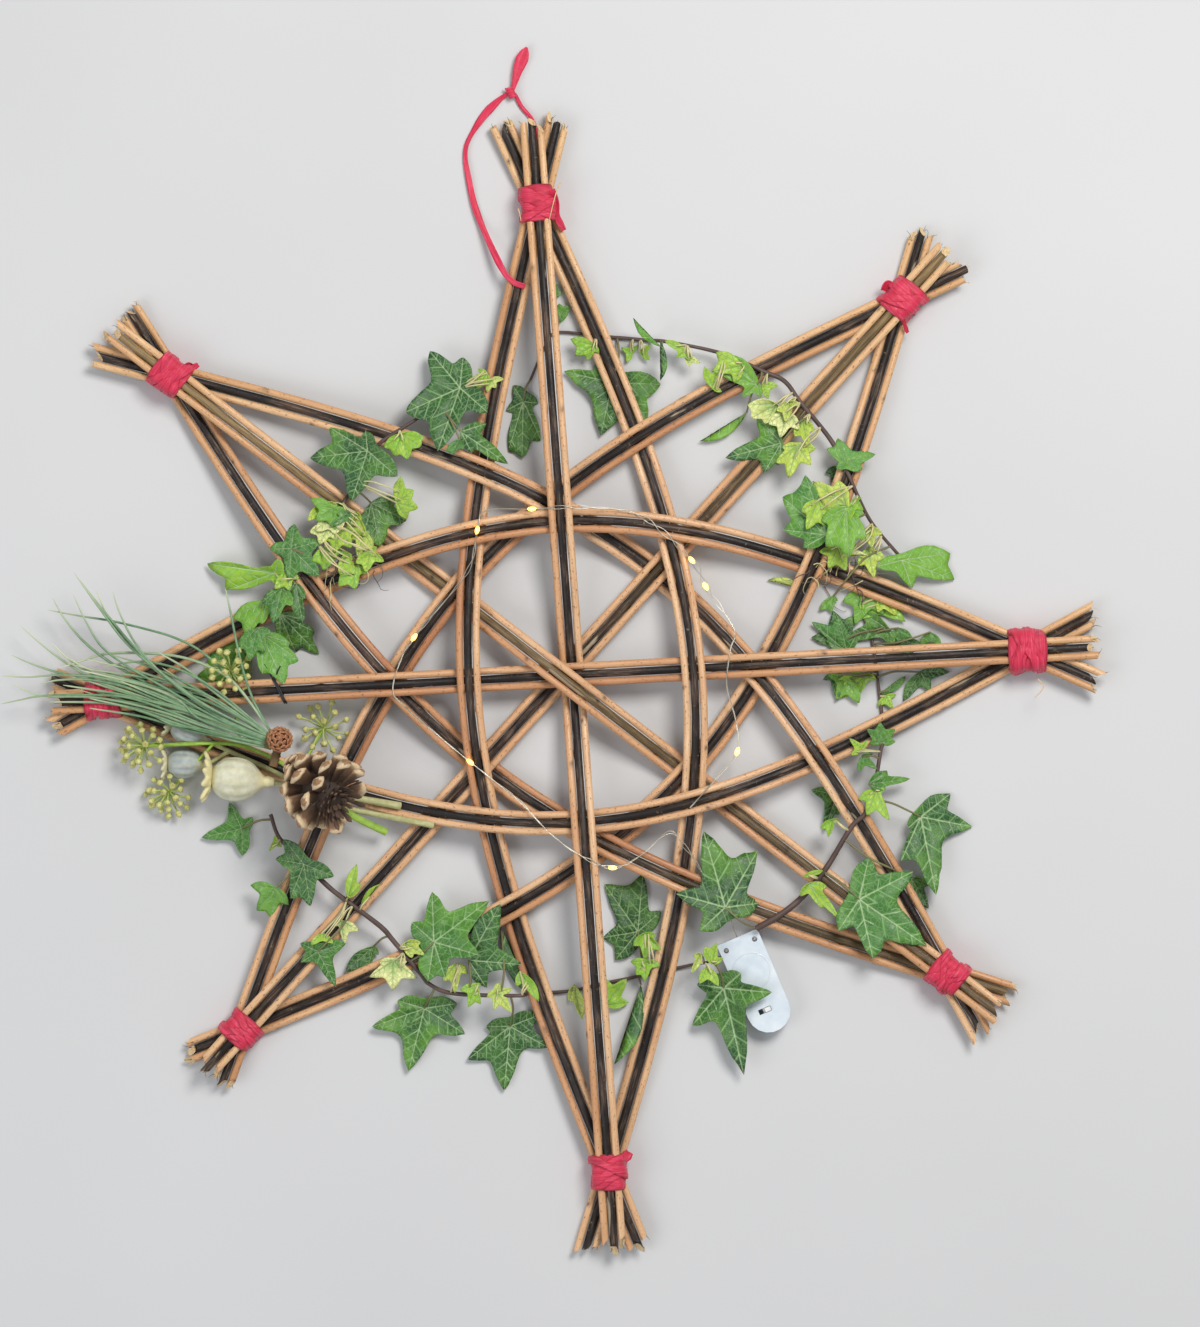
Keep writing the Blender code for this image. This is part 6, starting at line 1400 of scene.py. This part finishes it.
# Root and tips of the solid's needles, in mm from the hub: their heights are read there.
NEEDLE_ROOT = (-167, -36)
NEEDLE_TIPS = (
    (-284, 59), (-272, 49), (-262, 47), (-285, 46), (-297, 44), (-300, 38), (-315, 28), (-298, 18),
    (-320, 12), (-327, 0), (-320, -5), (-327, -15), (-303, -5), (-280, 22), (-268, 12), (-262, -14),
)
TWIG_BEARING, TWIG_LENGTH = 75.0, 22.0
# The wire that ties the posy on: its middle in the photo, and its loose ends in mm from its turns.
TIE_PLACE = (282, 694)
TIE_RADIUS, TIE_PITCH, TIE_SLANT = 0.45 * MM, 1.1 * MM, 0.45
TIE_ENDS = (((-4.5, 7.5, 2.0), (-2.0, 3.5, 1.2)), ((1.0, 3.5, 1.5), (2.5, 6.5, 2.5)))
# The cone: the way from its base to its tip, its size, its scales and the bracts at its base.
CONE_AXIS = (-0.62, 0.52, -0.59)
CONE_LENGTH, CONE_RADIUS, CONE_SCALES, CONE_BRACTS = 44 * MM, 25 * MM, 50, 46


def near_height(points, plan, within):
    """Mean height of a solid's points near a place in plan."""
    off = np.linalg.norm(points[:, :2] - plan, axis=1)
    return points[off < max(within, off.min() + 1e-6), 2].mean()


def plant_look(name, dark, light, rough, streaks=(0.6, 7.0, 1.0), depth=0.0003, bloom=None):
    """A dry or fresh plant surface: streaks along it, a mottle, and a second colour where it's asked for."""
    s = Shader(name)
    streak = s.noise(s.uv(streaks), 1.0, 4.0)
    mottle = s.noise(s.place((330.0, 330.0, 330.0)), 1.0, 4.0)
    mixed = s.math("ADD", s.math("MULTIPLY", streak, 0.6), s.math("MULTIPLY", mottle, 0.4))
    base = s.ramp(mixed, (0.3, srgb(*dark)), (0.68, srgb(*light)))
    if bloom:
        base = s.mix(s.value("tone"), base, srgb(*bloom))
    s.set(Base_Color=base, Roughness=rough, Normal=s.bump(mixed, depth, 0.8))
    return s.material


def cone_look(name, *tones):
    """Woody scales, with a tone for each place from the root to the point."""
    s = Shader(name)
    grain = s.noise(s.uv((1.5, 6.0, 1.0)), 1.0, 5.0)
    blotch = s.noise(s.place((240.0, 240.0, 240.0)), 1.0, 4.0)
    stray = s.math("ADD", s.math("MULTIPLY", grain, 0.16), s.math("MULTIPLY", blotch, 0.14))
    place = s.math("ADD", s.value("along"), s.math("SUBTRACT", stray, 0.15))
    stops = zip((0.0, 0.55, 0.76, 0.85, 0.98, 1.08), tones)
    base = s.ramp(place, *((where, srgb(*tone)) for where, tone in stops))
    s.set(Base_Color=base, Roughness=0.72, Normal=s.bump(grain, 0.0006, 0.9))
    return s.material


NEEDLE = plant_look("pine_needle", (58, 98, 66), (128, 166, 120), 0.36, bloom=(214, 220, 182))
CONE = cone_look(
    "pine_scale", (42, 30, 23), (80, 58, 43), (120, 90, 66), (200, 172, 134), (220, 196, 160), (152, 116, 82)
)
YOUNG_CONE = cone_look(
    "young_scale", (58, 36, 24), (104, 64, 42), (142, 90, 60), (176, 118, 82), (192, 138, 98), (150, 98, 66)
)
POPPY_STREAKS = (0.7, 2.2, 1.0)
POPPY = plant_look("poppy_cream", (182, 180, 150), (232, 232, 210), 0.6, POPPY_STREAKS, bloom=(226, 214, 158))
POPPY_GREY = plant_look(
    "poppy_grey", (118, 128, 128), (186, 194, 192), 0.62, POPPY_STREAKS, bloom=(214, 206, 166)
)
POPPY_STALK = plant_look("poppy_stalk", (150, 146, 92), (206, 204, 152), 0.6)
BUD = plant_look("flower_bud", (172, 174, 84), (232, 228, 156), 0.5, bloom=(112, 92, 54))
TWIG = plant_look("pine_twig", (70, 48, 34), (140, 100, 66), 0.8, depth=0.0006, bloom=(104, 138, 76))


def finish_piece(shape, name, materials, nodes=()):
    """Builds a piece that rides on the star and hides the solids it replaces."""
    obj = shape.build(name, materials)
    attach(obj, "star")
    if nodes:
        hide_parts(*nodes)
    return obj


def stalk_line(node, route, radius):
    """A stalk's middle along its plan route, at the height of its solid."""
    plan = np.array([at(x, y)[:2] for x, y in route])
    legs = []
    for a, b in zip(plan, plan[1:]):
        legs.append(np.linspace(a, b, max(2, int(np.linalg.norm(b - a) / MM)), endpoint=False))
    straight = np.vstack(legs + [plan[-1:]])
    z = settle(heights(tree_of([NODES[node]]), straight) - radius, 12)
    return np.column_stack([settle(straight, 30), z])


def turned(shape, centre, axis, side, up, profile, sides, spread, **values):
    """A skin turned about an axis; the profile holds distances along it and radii, in metres."""
    across = tuple(np.tile(v, (len(profile), 1)) for v in (axis, side, up))
    sections = profile[:, 1, None, None] * circle(sides)[None] * spread[:, :, None]
    return sweep(shape, centre + np.outer(profile[:, 0], axis), sections, across=across, **values)


def poppy_head(shape, centre, heading, radius, length):
    """A ribbed seed head with its neck and its ragged crown; the heading runs to the stalk."""
    h, sides = length / 2, 60
    axis = np.array([*heading, 0.0])
    side = np.array([-heading[1], heading[0], 0.0])
    up = np.array([0.0, 0.0, 1.0])
    body = np.array([
        (-1.0, 0.30), (-0.93, 0.52), (-0.78, 0.74), (-0.52, 0.93), (-0.2, 1.0),
        (0.1, 0.99), (0.4, 0.90), (0.65, 0.73),
        (0.85, 0.50), (1.0, 0.34), (1.12, 0.25), (1.22, 0.27), (1.32, 0.23), (1.46, 0.18),
    ])
    fine = smooth_line(body, 0.05)
    turn = np.linspace(0, 2 * math.pi, sides, endpoint=False)
    ridge = np.abs(np.cos(turn * 5.5)) ** 0.7 - 0.6
    swell = np.sin(np.clip((fine[:, :1] + 1.05) / 2.1, 0, 1) * math.pi)
    ends = np.clip((np.abs(fine[:, 0] + 0.05) - 0.72) * 2.2, 0, 0.75)[:, None]
    tone = ends + 0.55 * np.maximum(ridge[None], 0) * swell
    ribbed = 1 + 0.09 * ridge[None] * swell
    turned(shape, centre, axis, side, up, fine * (h, radius), sides, ribbed, tone=tone)
    crown = np.array([
        (-0.97, 0.34), (-1.02, 0.62), (-1.09, 0.88), (-1.2, 0.99),
        (-1.28, 0.93), (-1.2, 0.6), (-1.16, 0.3), (-1.2, 0.04),
    ])
    spots = [(math.cos(a) * 2.4, math.sin(a) * 2.4, radius * 900) for a in turn]
    ragged = np.array([noise.noise(Vector(spot)) for spot in spots])
    rays = 1 + 0.17 * np.cos(turn * 10) + 0.30 * ragged
    edge = np.interp(crown[:, 1], (0.5, 0.9), (0.0, 1.0))[:, None]
    torn = 1 + edge * (rays[None] - 1)
    skin = turned(shape, centre, axis, side, up, crown * (h, radius), sides, torn, tone=0.9)
    fold = h * (0.07 * np.cos(turn * 10) + 0.10 * ragged)
    skin = (skin - (edge * fold[None])[:, :, None] * axis).reshape(-1, 3)
    skin[:, 2] = np.maximum(skin[:, 2], 0.3 * MM)
    shape.points[-3] = skin


def poppy(shape, node, route, radius, length, stalk):
    route = np.array(route, float)
    heading = (route[1] - route[0]) / np.linalg.norm(route[1] - route[0])
    centre = at(*route[0])
    spots = [centre[:2] + heading * s * MM for s in (-1.0, 0.0, 1.0)]
    centre[2] = max(filter(None, [drop(tree_of([NODES[node]]), *spot) for spot in spots])) - radius * 0.99
    centre[2] = max(centre[2], radius * 1.05 + 0.2 * MM)
    poppy_head(shape, centre, heading, radius, length)
    neck = route[0] + heading * length * 0.68 / MM
    way = [tuple(neck)] + [tuple(p) for p in route[1:] if (p - neck) @ heading > 2]
    line = stalk_line(node, way, stalk / 2)
    line[:6, 2] = np.linspace(centre[2], line[6, 2], 6)
    radii = np.interp(np.linspace(0, 1, len(line)), (0, 0.6, 1.0), (0.85, 1.0, 1.25)) * stalk / 2
    sweep(shape, line, round_sections(radii, 12), 1, cap_slot=2, tone=0.0)


def poppies():
    """The large poppy, and the pair on one branched stalk."""
    shape = Shape()
    poppy(shape, "poppy_large", POPPY_ROUTE, 12.2 * MM, 29 * MM, 3.6 * MM)
    finish_piece(shape, "poppy_large_head", [POPPY, POPPY_STALK, CUT], ["poppy_large"])
    shape = Shape()
    poppy(shape, "poppy_pair", PAIR_ROUTE, 7.2 * MM, 20 * MM, 3.0 * MM)
    poppy(shape, "poppy_pair", PAIR_BRANCH, 8.4 * MM, 20 * MM, 2.6 * MM)
    finish_piece(shape, "poppy_pair_heads", [POPPY_GREY, POPPY_STALK, CUT], ["poppy_pair"])


def bud(shape, place, axis, radius):
    """A flower bud: a cup, a five-cornered rim with dry tips, and a domed top with a point."""
    profile = np.array([
        (-1.25, 0.25), (-0.9, 0.62), (-0.35, 0.95), (0.0, 1.0), (0.10, 1.06),
        (0.2, 0.82), (0.55, 0.70), (0.95, 0.36), (1.15, 0.06),
    ])
    axis = unit(axis)
    side = unit(np.cross(axis, (0.3, 0.9, 0.2)))
    turn = np.linspace(0, 2 * math.pi, 20, endpoint=False)
    five = 1 + np.cos(turn * 5)[None] * np.interp(profile[:, :1], (-0.2, 0.1, 0.2), (0.0, 0.16, 0.05))
    tone = np.interp(profile[:, 0], (0.0, 0.1, 0.2, 0.9, 1.1), (0.0, 0.45, 0.05, 0.1, 0.7))
    turned(shape, place, axis, side, np.cross(axis, side), profile * radius, 20, five, tone=tone)


def umbel(shape, solid, hub, facing, spread, reach, count, seed):
    facing = unit(facing)
    side = unit(np.cross(facing, (0.0, 1.0, 0.0)))
    other = np.cross(facing, side)
    plan = at(*hub)[:2]
    middle = np.array([*plan, near_height(solid, plan, 2.4 * MM)])
    bead(shape, middle, facing, 1.9 * MM, 3.6 * MM, 0, 10, 8)
    for k in range(count):
        lean = math.acos(1 - (1 - math.cos(math.radians(spread))) * (k + 0.5) / count)
        a = GOLDEN_ANGLE * k + seed
        way = facing * math.cos(lean) + (side * math.cos(a) + other * math.sin(a)) * math.sin(lean)
        tip = middle + way * reach * MM * (0.92 + 0.24 * noise.noise(Vector((k * 1.7, seed, 0.4))))
        tip[2] = max(tip[2], 2.4 * MM)
        bow = np.cross(way, (0.0, 0.0, 1.0)) * 0.6 * MM
        line = smooth_line(np.array([middle, (middle + tip) / 2 + bow, tip]), 1.2 * MM)
        sweep(shape, line, round_sections(np.linspace(0.48, 0.6, len(line)) * MM, 6), 1, tone=0.6)
        bud(shape, tip, way, (1.85 + 0.3 * noise.noise(Vector((k * 2.1, seed, 3.0)))) * MM)


def ivy_flowers():
    """The flowering stem with its umbels."""
    node = "ivy_flowers"
    solid = corners(node)
    fresh = plant_look("flower_stem", (104, 146, 38), (172, 204, 84), 0.5, bloom=(214, 220, 150))
    shape = Shape()
    stem = stalk_line(node, FLOWER_ROUTE, 1.1 * MM)
    count = len(stem)
    cap = np.interp(np.arange(count), (0, 20, count), (stem[20, 2], stem[20, 2] + 2 * MM, 1.0))
    stem[:, 2] = np.minimum(stem[:, 2], cap)
    radii = np.interp(np.arange(count), (0, count - 34, count - 24, count - 1), (1.1, 1.2, 2.0, 2.2)) * MM
    sweep(shape, stem, round_sections(radii, 12), 1, cap_slot=2)
    for n, (hub, facing, spread, reach, fork, buds) in enumerate(UMBELS):
        umbel(shape, solid, hub, facing, spread, reach, buds, n * 2.3)
        if fork:
            root = stem[((stem[:, :2] - at(*fork)[:2]) ** 2).sum(axis=1).argmin()]
            plan = at(*hub)[:2]
            end = np.array([*plan, near_height(solid, plan, 2.4 * MM)])
            middle = (root + end) / 2 + np.array([0.0, 0.0, 2.0 * MM])
            line = smooth_line(np.array([root, middle, end]), 1.5 * MM)
            sweep(shape, line, round_sections(np.full(len(line), 0.9 * MM), 8), 1)
    finish_piece(shape, "ivy_flower_umbels", [BUD, fresh, CUT], [node])


def needle_routes():
    """The needles' plans from root to tip: those that stand out, then the rest of the sheaf."""
    for route in NEEDLES:
        yield np.array([seen(*p) for p in route[::-1]])
    upper, lower = np.array(SHEAF_UPPER, float), np.array(SHEAF_LOWER, float)
    for n in range(SHEAF_COUNT):
        share = (n + 0.5) / SHEAF_COUNT + rng.uniform(-0.05, 0.05)
        tip, waist, root = upper * (1 - share) + lower * share
        tip = tip + (rng.uniform(0, SHEAF_DEPTH), rng.uniform(-8, 8))
        waist = waist + rng.uniform(-9, 9, 2) * (1.0, 0.8)
        yield np.array([seen(*p) for p in (root, waist, (waist + tip) / 2 + rng.uniform(-4, 4, 2), tip)])


def pine_sprig():
    """The needles, the twig they stand on and its young cone."""
    node = "pine_sprig"
    solid = corners(node)
    turn = math.radians(TWIG_BEARING)
    along = np.array([math.cos(turn), math.sin(turn)])
    root = at(*NEEDLE_ROOT)[:2]
    ends = [root - along * TWIG_LENGTH * MM / 2, root + along * TWIG_LENGTH * MM / 2]
    root_z = near_height(solid, ends[1] + along * 5 * MM, 3.2 * MM)
    tips = np.array([at(*t)[:2] for t in NEEDLE_TIPS])
    tip_z = np.array([near_height(solid, t, 1.0 * MM) for t in tips])
    shape = Shape()
    for plan in needle_routes():
        plan[0] = plan[0] * 0.4 + seen(*SHEAF_ROOT) * 0.6
        near = 1 / (np.linalg.norm(tips - plan[-1], axis=1) + 4 * MM) ** 2
        z = (tip_z * near).sum() / near.sum()
        flat = smooth_line(np.column_stack([plan, np.zeros(len(plan))]), 2.0 * MM)
        t = np.linspace(0, 1, len(flat))
        whole = np.linalg.norm(plan[-1] - plan[0]) / np.linalg.norm(tips - plan[0], axis=1).mean()
        layer = rng.uniform(0.0, 3.6) * MM * np.sin(t * 2.4)
        flat[:, 2] = root_z + (z - root_z) * min(1.0, whole) * t + layer
        taper = np.interp(t, (0, 0.08, 0.8, 0.97, 1), (0.8, 1.0, 0.9, 0.5, 0.15))
        radii = NEEDLE_RADIUS * rng.uniform(0.85, 1.1) * taper
        pale = np.clip(t * 3.0 - 2.35, 0, 0.6) + rng.uniform(0, 0.5) ** 2 * 1.6
        sweep(shape, flat, round_sections(radii, 8, 0.75), 0, tone=pale)
        sheath = flat[:3]
        sweep(shape, sheath, round_sections(np.linspace(1.05, 0.8, len(sheath)) * MM, 8), 1, tone=0.35)
    ways = [ends[0] - along * 5 * MM, root, root + along * 3 * MM]
    twig = smooth_line(np.array([(*way, root_z) for way in ways]), 1.0 * MM)
    run = run_of(twig)
    radii = 2.5 * MM * (1 + 0.14 * np.sin(run * 3200) + 0.08 * wobble(run, 900, 4))
    sweep(shape, twig, round_sections(radii, 14), 1, tone=0.1)
    finish_piece(shape, "pine_needles", [NEEDLE, TWIG], [node])
    young = Shape()
    perch = np.array([*root, root_z + 7.5 * MM])
    for k in range(58):
        share = (k + 0.5) / 58
        a, lean = GOLDEN_ANGLE * k, math.acos(1 - 1.75 * share)
        way = np.array([math.sin(lean) * math.cos(a), math.sin(lean) * math.sin(a), math.cos(lean)])
        upward = unit(way * 0.25 + np.array([0, 0, 1.0]))
        scale_at(young, perch, way, upward, 7.4 * MM, 1.9 * MM, 1.2 * MM, 0.25, 1.0)
    bead(young, perch, (0, 0, 1), 5.4 * MM, 11 * MM, 0)
    finish_piece(young, "pine_young_cone", [YOUNG_CONE])


def scale_at(shape, root, out, upward, reach, half, thick, start=0.3, pale=1.0):
    """One woody scale from the cone's core outwards: a thin blade, then a thick blunt end."""
    out = unit(out)
    side = unit(np.cross(upward, out))
    up = np.cross(out, side)
    turn = np.linspace(0, 2 * math.pi, 8, endpoint=False)
    ring = np.stack([np.cos(turn), np.sin(turn) * np.where(np.abs(np.cos(turn)) < 0.1, 1.0, 0.82)], axis=-1)
    blade = np.array([(start, 0.42, 0.32), (0.55, 0.66, 0.30), (0.76, 0.90, 0.42), (0.86, 1.0, 0.72)])
    knob = np.array([(0.85, 1.0, 0.74), (0.90, 0.92, 1.05), (0.97, 0.50, 0.86), (1.02, 0.12, 0.34)])
    for profile in (blade, knob):
        curl = 0.12 * reach * profile[:, 0] ** 3
        line = root + np.outer(profile[:, 0] * reach, out) + np.outer(curl, up)
        sections = ring[None] * np.stack([profile[:, 1] * half, profile[:, 2] * thick], axis=-1)[:, None]
        across = tuple(np.tile(v, (len(line), 1)) for v in (out, side, up))
        shade = profile[:, 0] * pale - 0.02 + 0.04 * (profile is knob)
        sweep(shape, line, sections, 0, across=across, along=shade)


def pine_cone():
    """Scales in a spiral round the axis of the cone, and bracts at its base."""
    axis = unit(CONE_AXIS)
    side = unit(np.cross(axis, (0.0, 0.0, 1.0)))
    other = np.cross(axis, side)
    shape = Shape()
    for n in range(CONE_SCALES):
        share = (n + 0.5) / CONE_SCALES
        swell = 0.62 + 0.52 * math.sin(math.pi * min(0.95, share + 0.22)) ** 1.2
        reach = CONE_RADIUS * swell * (1.02 - 0.42 * share)
        lift = math.radians(-14 + 78 * share + rng.uniform(-9, 9))
        a = GOLDEN_ANGLE * n + rng.uniform(-0.12, 0.12)
        radial = side * math.cos(a) + other * math.sin(a)
        around = np.cross(axis, radial)
        out = radial * math.cos(lift) + axis * math.sin(lift)
        root = axis * CONE_LENGTH * (0.08 + 0.70 * share)
        half = CONE_RADIUS * (0.26 - 0.10 * share) * rng.uniform(0.8, 1.15)
        thick = CONE_RADIUS * (0.125 - 0.035 * share) * rng.uniform(0.8, 1.25)
        upward = -axis * math.cos(lift) + radial * math.sin(lift) + around * rng.uniform(-0.3, 0.3)
        scale_at(shape, root, out, upward, reach * rng.uniform(0.9, 1.04), half, thick)
    for n in range(CONE_BRACTS):
        share = (n + 0.5) / CONE_BRACTS
        a = GOLDEN_ANGLE * n
        radial = side * math.cos(a) + other * math.sin(a)
        out = radial * (0.35 + 0.75 * share) - axis * rng.uniform(0.25, 0.6)
        reach = CONE_RADIUS * (0.30 + 0.26 * share) * rng.uniform(0.8, 1.15)
        start = axis * CONE_LENGTH * 0.07 + radial * CONE_RADIUS * 0.30 * share
        half, thick, pale = rng.uniform(0.9, 1.9) * MM, rng.uniform(0.4, 0.8) * MM, rng.uniform(0.45, 0.72)
        scale_at(shape, start, out, radial - axis, reach, half, thick, 0.1, pale)
    core = np.array([(0.0, 0.22), (0.03, 0.40), (0.4, 0.40), (0.8, 0.26), (0.95, 0.05)])
    line = np.outer(core[:, 0] * CONE_LENGTH, axis)
    across = tuple(np.tile(v, (len(line), 1)) for v in (axis, side, other))
    sweep(shape, line, round_sections(core[:, 1] * CONE_RADIUS, 16), 0, across=across, along=0.15)
    points = np.vstack(shape.points)
    low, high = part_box("pine_cone")
    middle = (np.array(low) + np.array(high)) / 2
    shift = middle - (points.min(axis=0) + points.max(axis=0)) / 2
    shape.points = [p + shift for p in shape.points]
    finish_piece(shape, "pine_cone_scales", [CONE], ["pine_cone"])


def tie_look():
    s = Shader("tie_wire")
    patch = s.noise(s.uv((0.6, 1.0, 1.0)), 1.0, 2.0)
    s.set(Base_Color=s.ramp(patch, (0.35, srgb(20, 22, 26)), (0.65, srgb(58, 60, 64))), Metallic=0.4)
    s.set(Roughness=s.ramp(patch, (0.3, 0.35), (0.7, 0.5)))
    return s.material


def posy_tie():
    """A dark wire wound twice round the level bundle, its ends left loose."""
    spot = seen(*TIE_PLACE)
    rods = []
    for letter in "abc":
        line, radius = ROD_LINES[f"rod_level_straight_{letter}"]
        x, y, z = line[np.argsort(line[:, 0])].T
        rods.append((x - spot[0], y - spot[1], z, radius))
    place, out = wound_outline(rods, 0.0)
    ring = place + out * TIE_RADIUS
    ring = np.roll(ring, -ring[:, 0].argmax(), axis=0)
    wound = np.vstack([ring, ring, ring[:1]])
    pitch = np.linspace(-1, 1, len(wound)) * TIE_PITCH
    turns = np.column_stack([spot[0] + pitch - TIE_SLANT * wound[:, 0], spot[1] + wound[:, 0], wound[:, 1]])
    start, end = turns[0] + np.array(TIE_ENDS[0]) * MM, turns[-1] + np.array(TIE_ENDS[1]) * MM
    line = smooth_line(np.vstack([start, turns[::3], turns[-1:], end]), 0.8 * MM)
    shape = Shape()
    sweep(shape, line, round_sections(np.full(len(line), TIE_RADIUS), 8), 0)
    finish_piece(shape, "posy_tie", [tie_look()])


poppies()
ivy_flowers()
pine_sprig()
pine_cone()
posy_tie()


# Stage

FLOOR_SIZE, FLOOR_HEIGHT = 8.0, -0.0006
# The camera looks straight down; its distance is measured from this height over the floor.
CAMERA_DISTANCE, CAMERA_AIM = 6.0, 0.012


def make_floor():
    bpy.ops.mesh.primitive_plane_add(size=FLOOR_SIZE, location=(0.0, 0.0, FLOOR_HEIGHT))
    floor = bpy.context.object
    floor.name = "floor"
    floor.data.materials.append(floor_look())


def area_lamp(name, place, size, power, colour=(1.0, 1.0, 1.0)):
    lamp = bpy.data.lights.new(name, "AREA")
    lamp.shape = "DISK"
    lamp.size, lamp.energy, lamp.color = size, power, colour
    obj = bpy.data.objects.new(name, lamp)
    obj.location = place
    obj.rotation_euler = (-Vector(place)).to_track_quat("-Z", "Y").to_euler()
    bpy.context.scene.collection.objects.link(obj)


def make_stage():
    """Floor, lamps, sky and camera."""
    make_floor()
    area_lamp("key", (0.75, 1.0, 1.9), 0.9, 38.0, (1.0, 0.98, 0.95))
    area_lamp("fill", (-1.5, -0.8, 1.6), 1.6, 16.0, (0.95, 0.97, 1.0))
    scene = bpy.context.scene
    world = bpy.data.worlds.new("world")
    world.use_nodes = True
    sky = world.node_tree.nodes["Background"].inputs
    sky["Color"].default_value = (0.92, 0.95, 1.0, 1.0)
    sky["Strength"].default_value = 0.42
    scene.world = world
    scene.view_settings.view_transform = "Standard"
    camera = bpy.data.cameras.new("camera")
    camera.lens = camera.sensor_width * CAMERA_DISTANCE / (PHOTO_HEIGHT * PIXEL)
    camera.clip_end = 50.0
    obj = bpy.data.objects.new("camera", camera)
    x = (PHOTO_WIDTH / 2 - PHOTO_HUB[0]) * PIXEL + HUB[0]
    y = (PHOTO_HUB[1] - PHOTO_HEIGHT / 2) * PIXEL + HUB[1]
    obj.location = (x, y, CAMERA_DISTANCE + CAMERA_AIM)
    scene.collection.objects.link(obj)
    scene.camera = obj


make_stage()
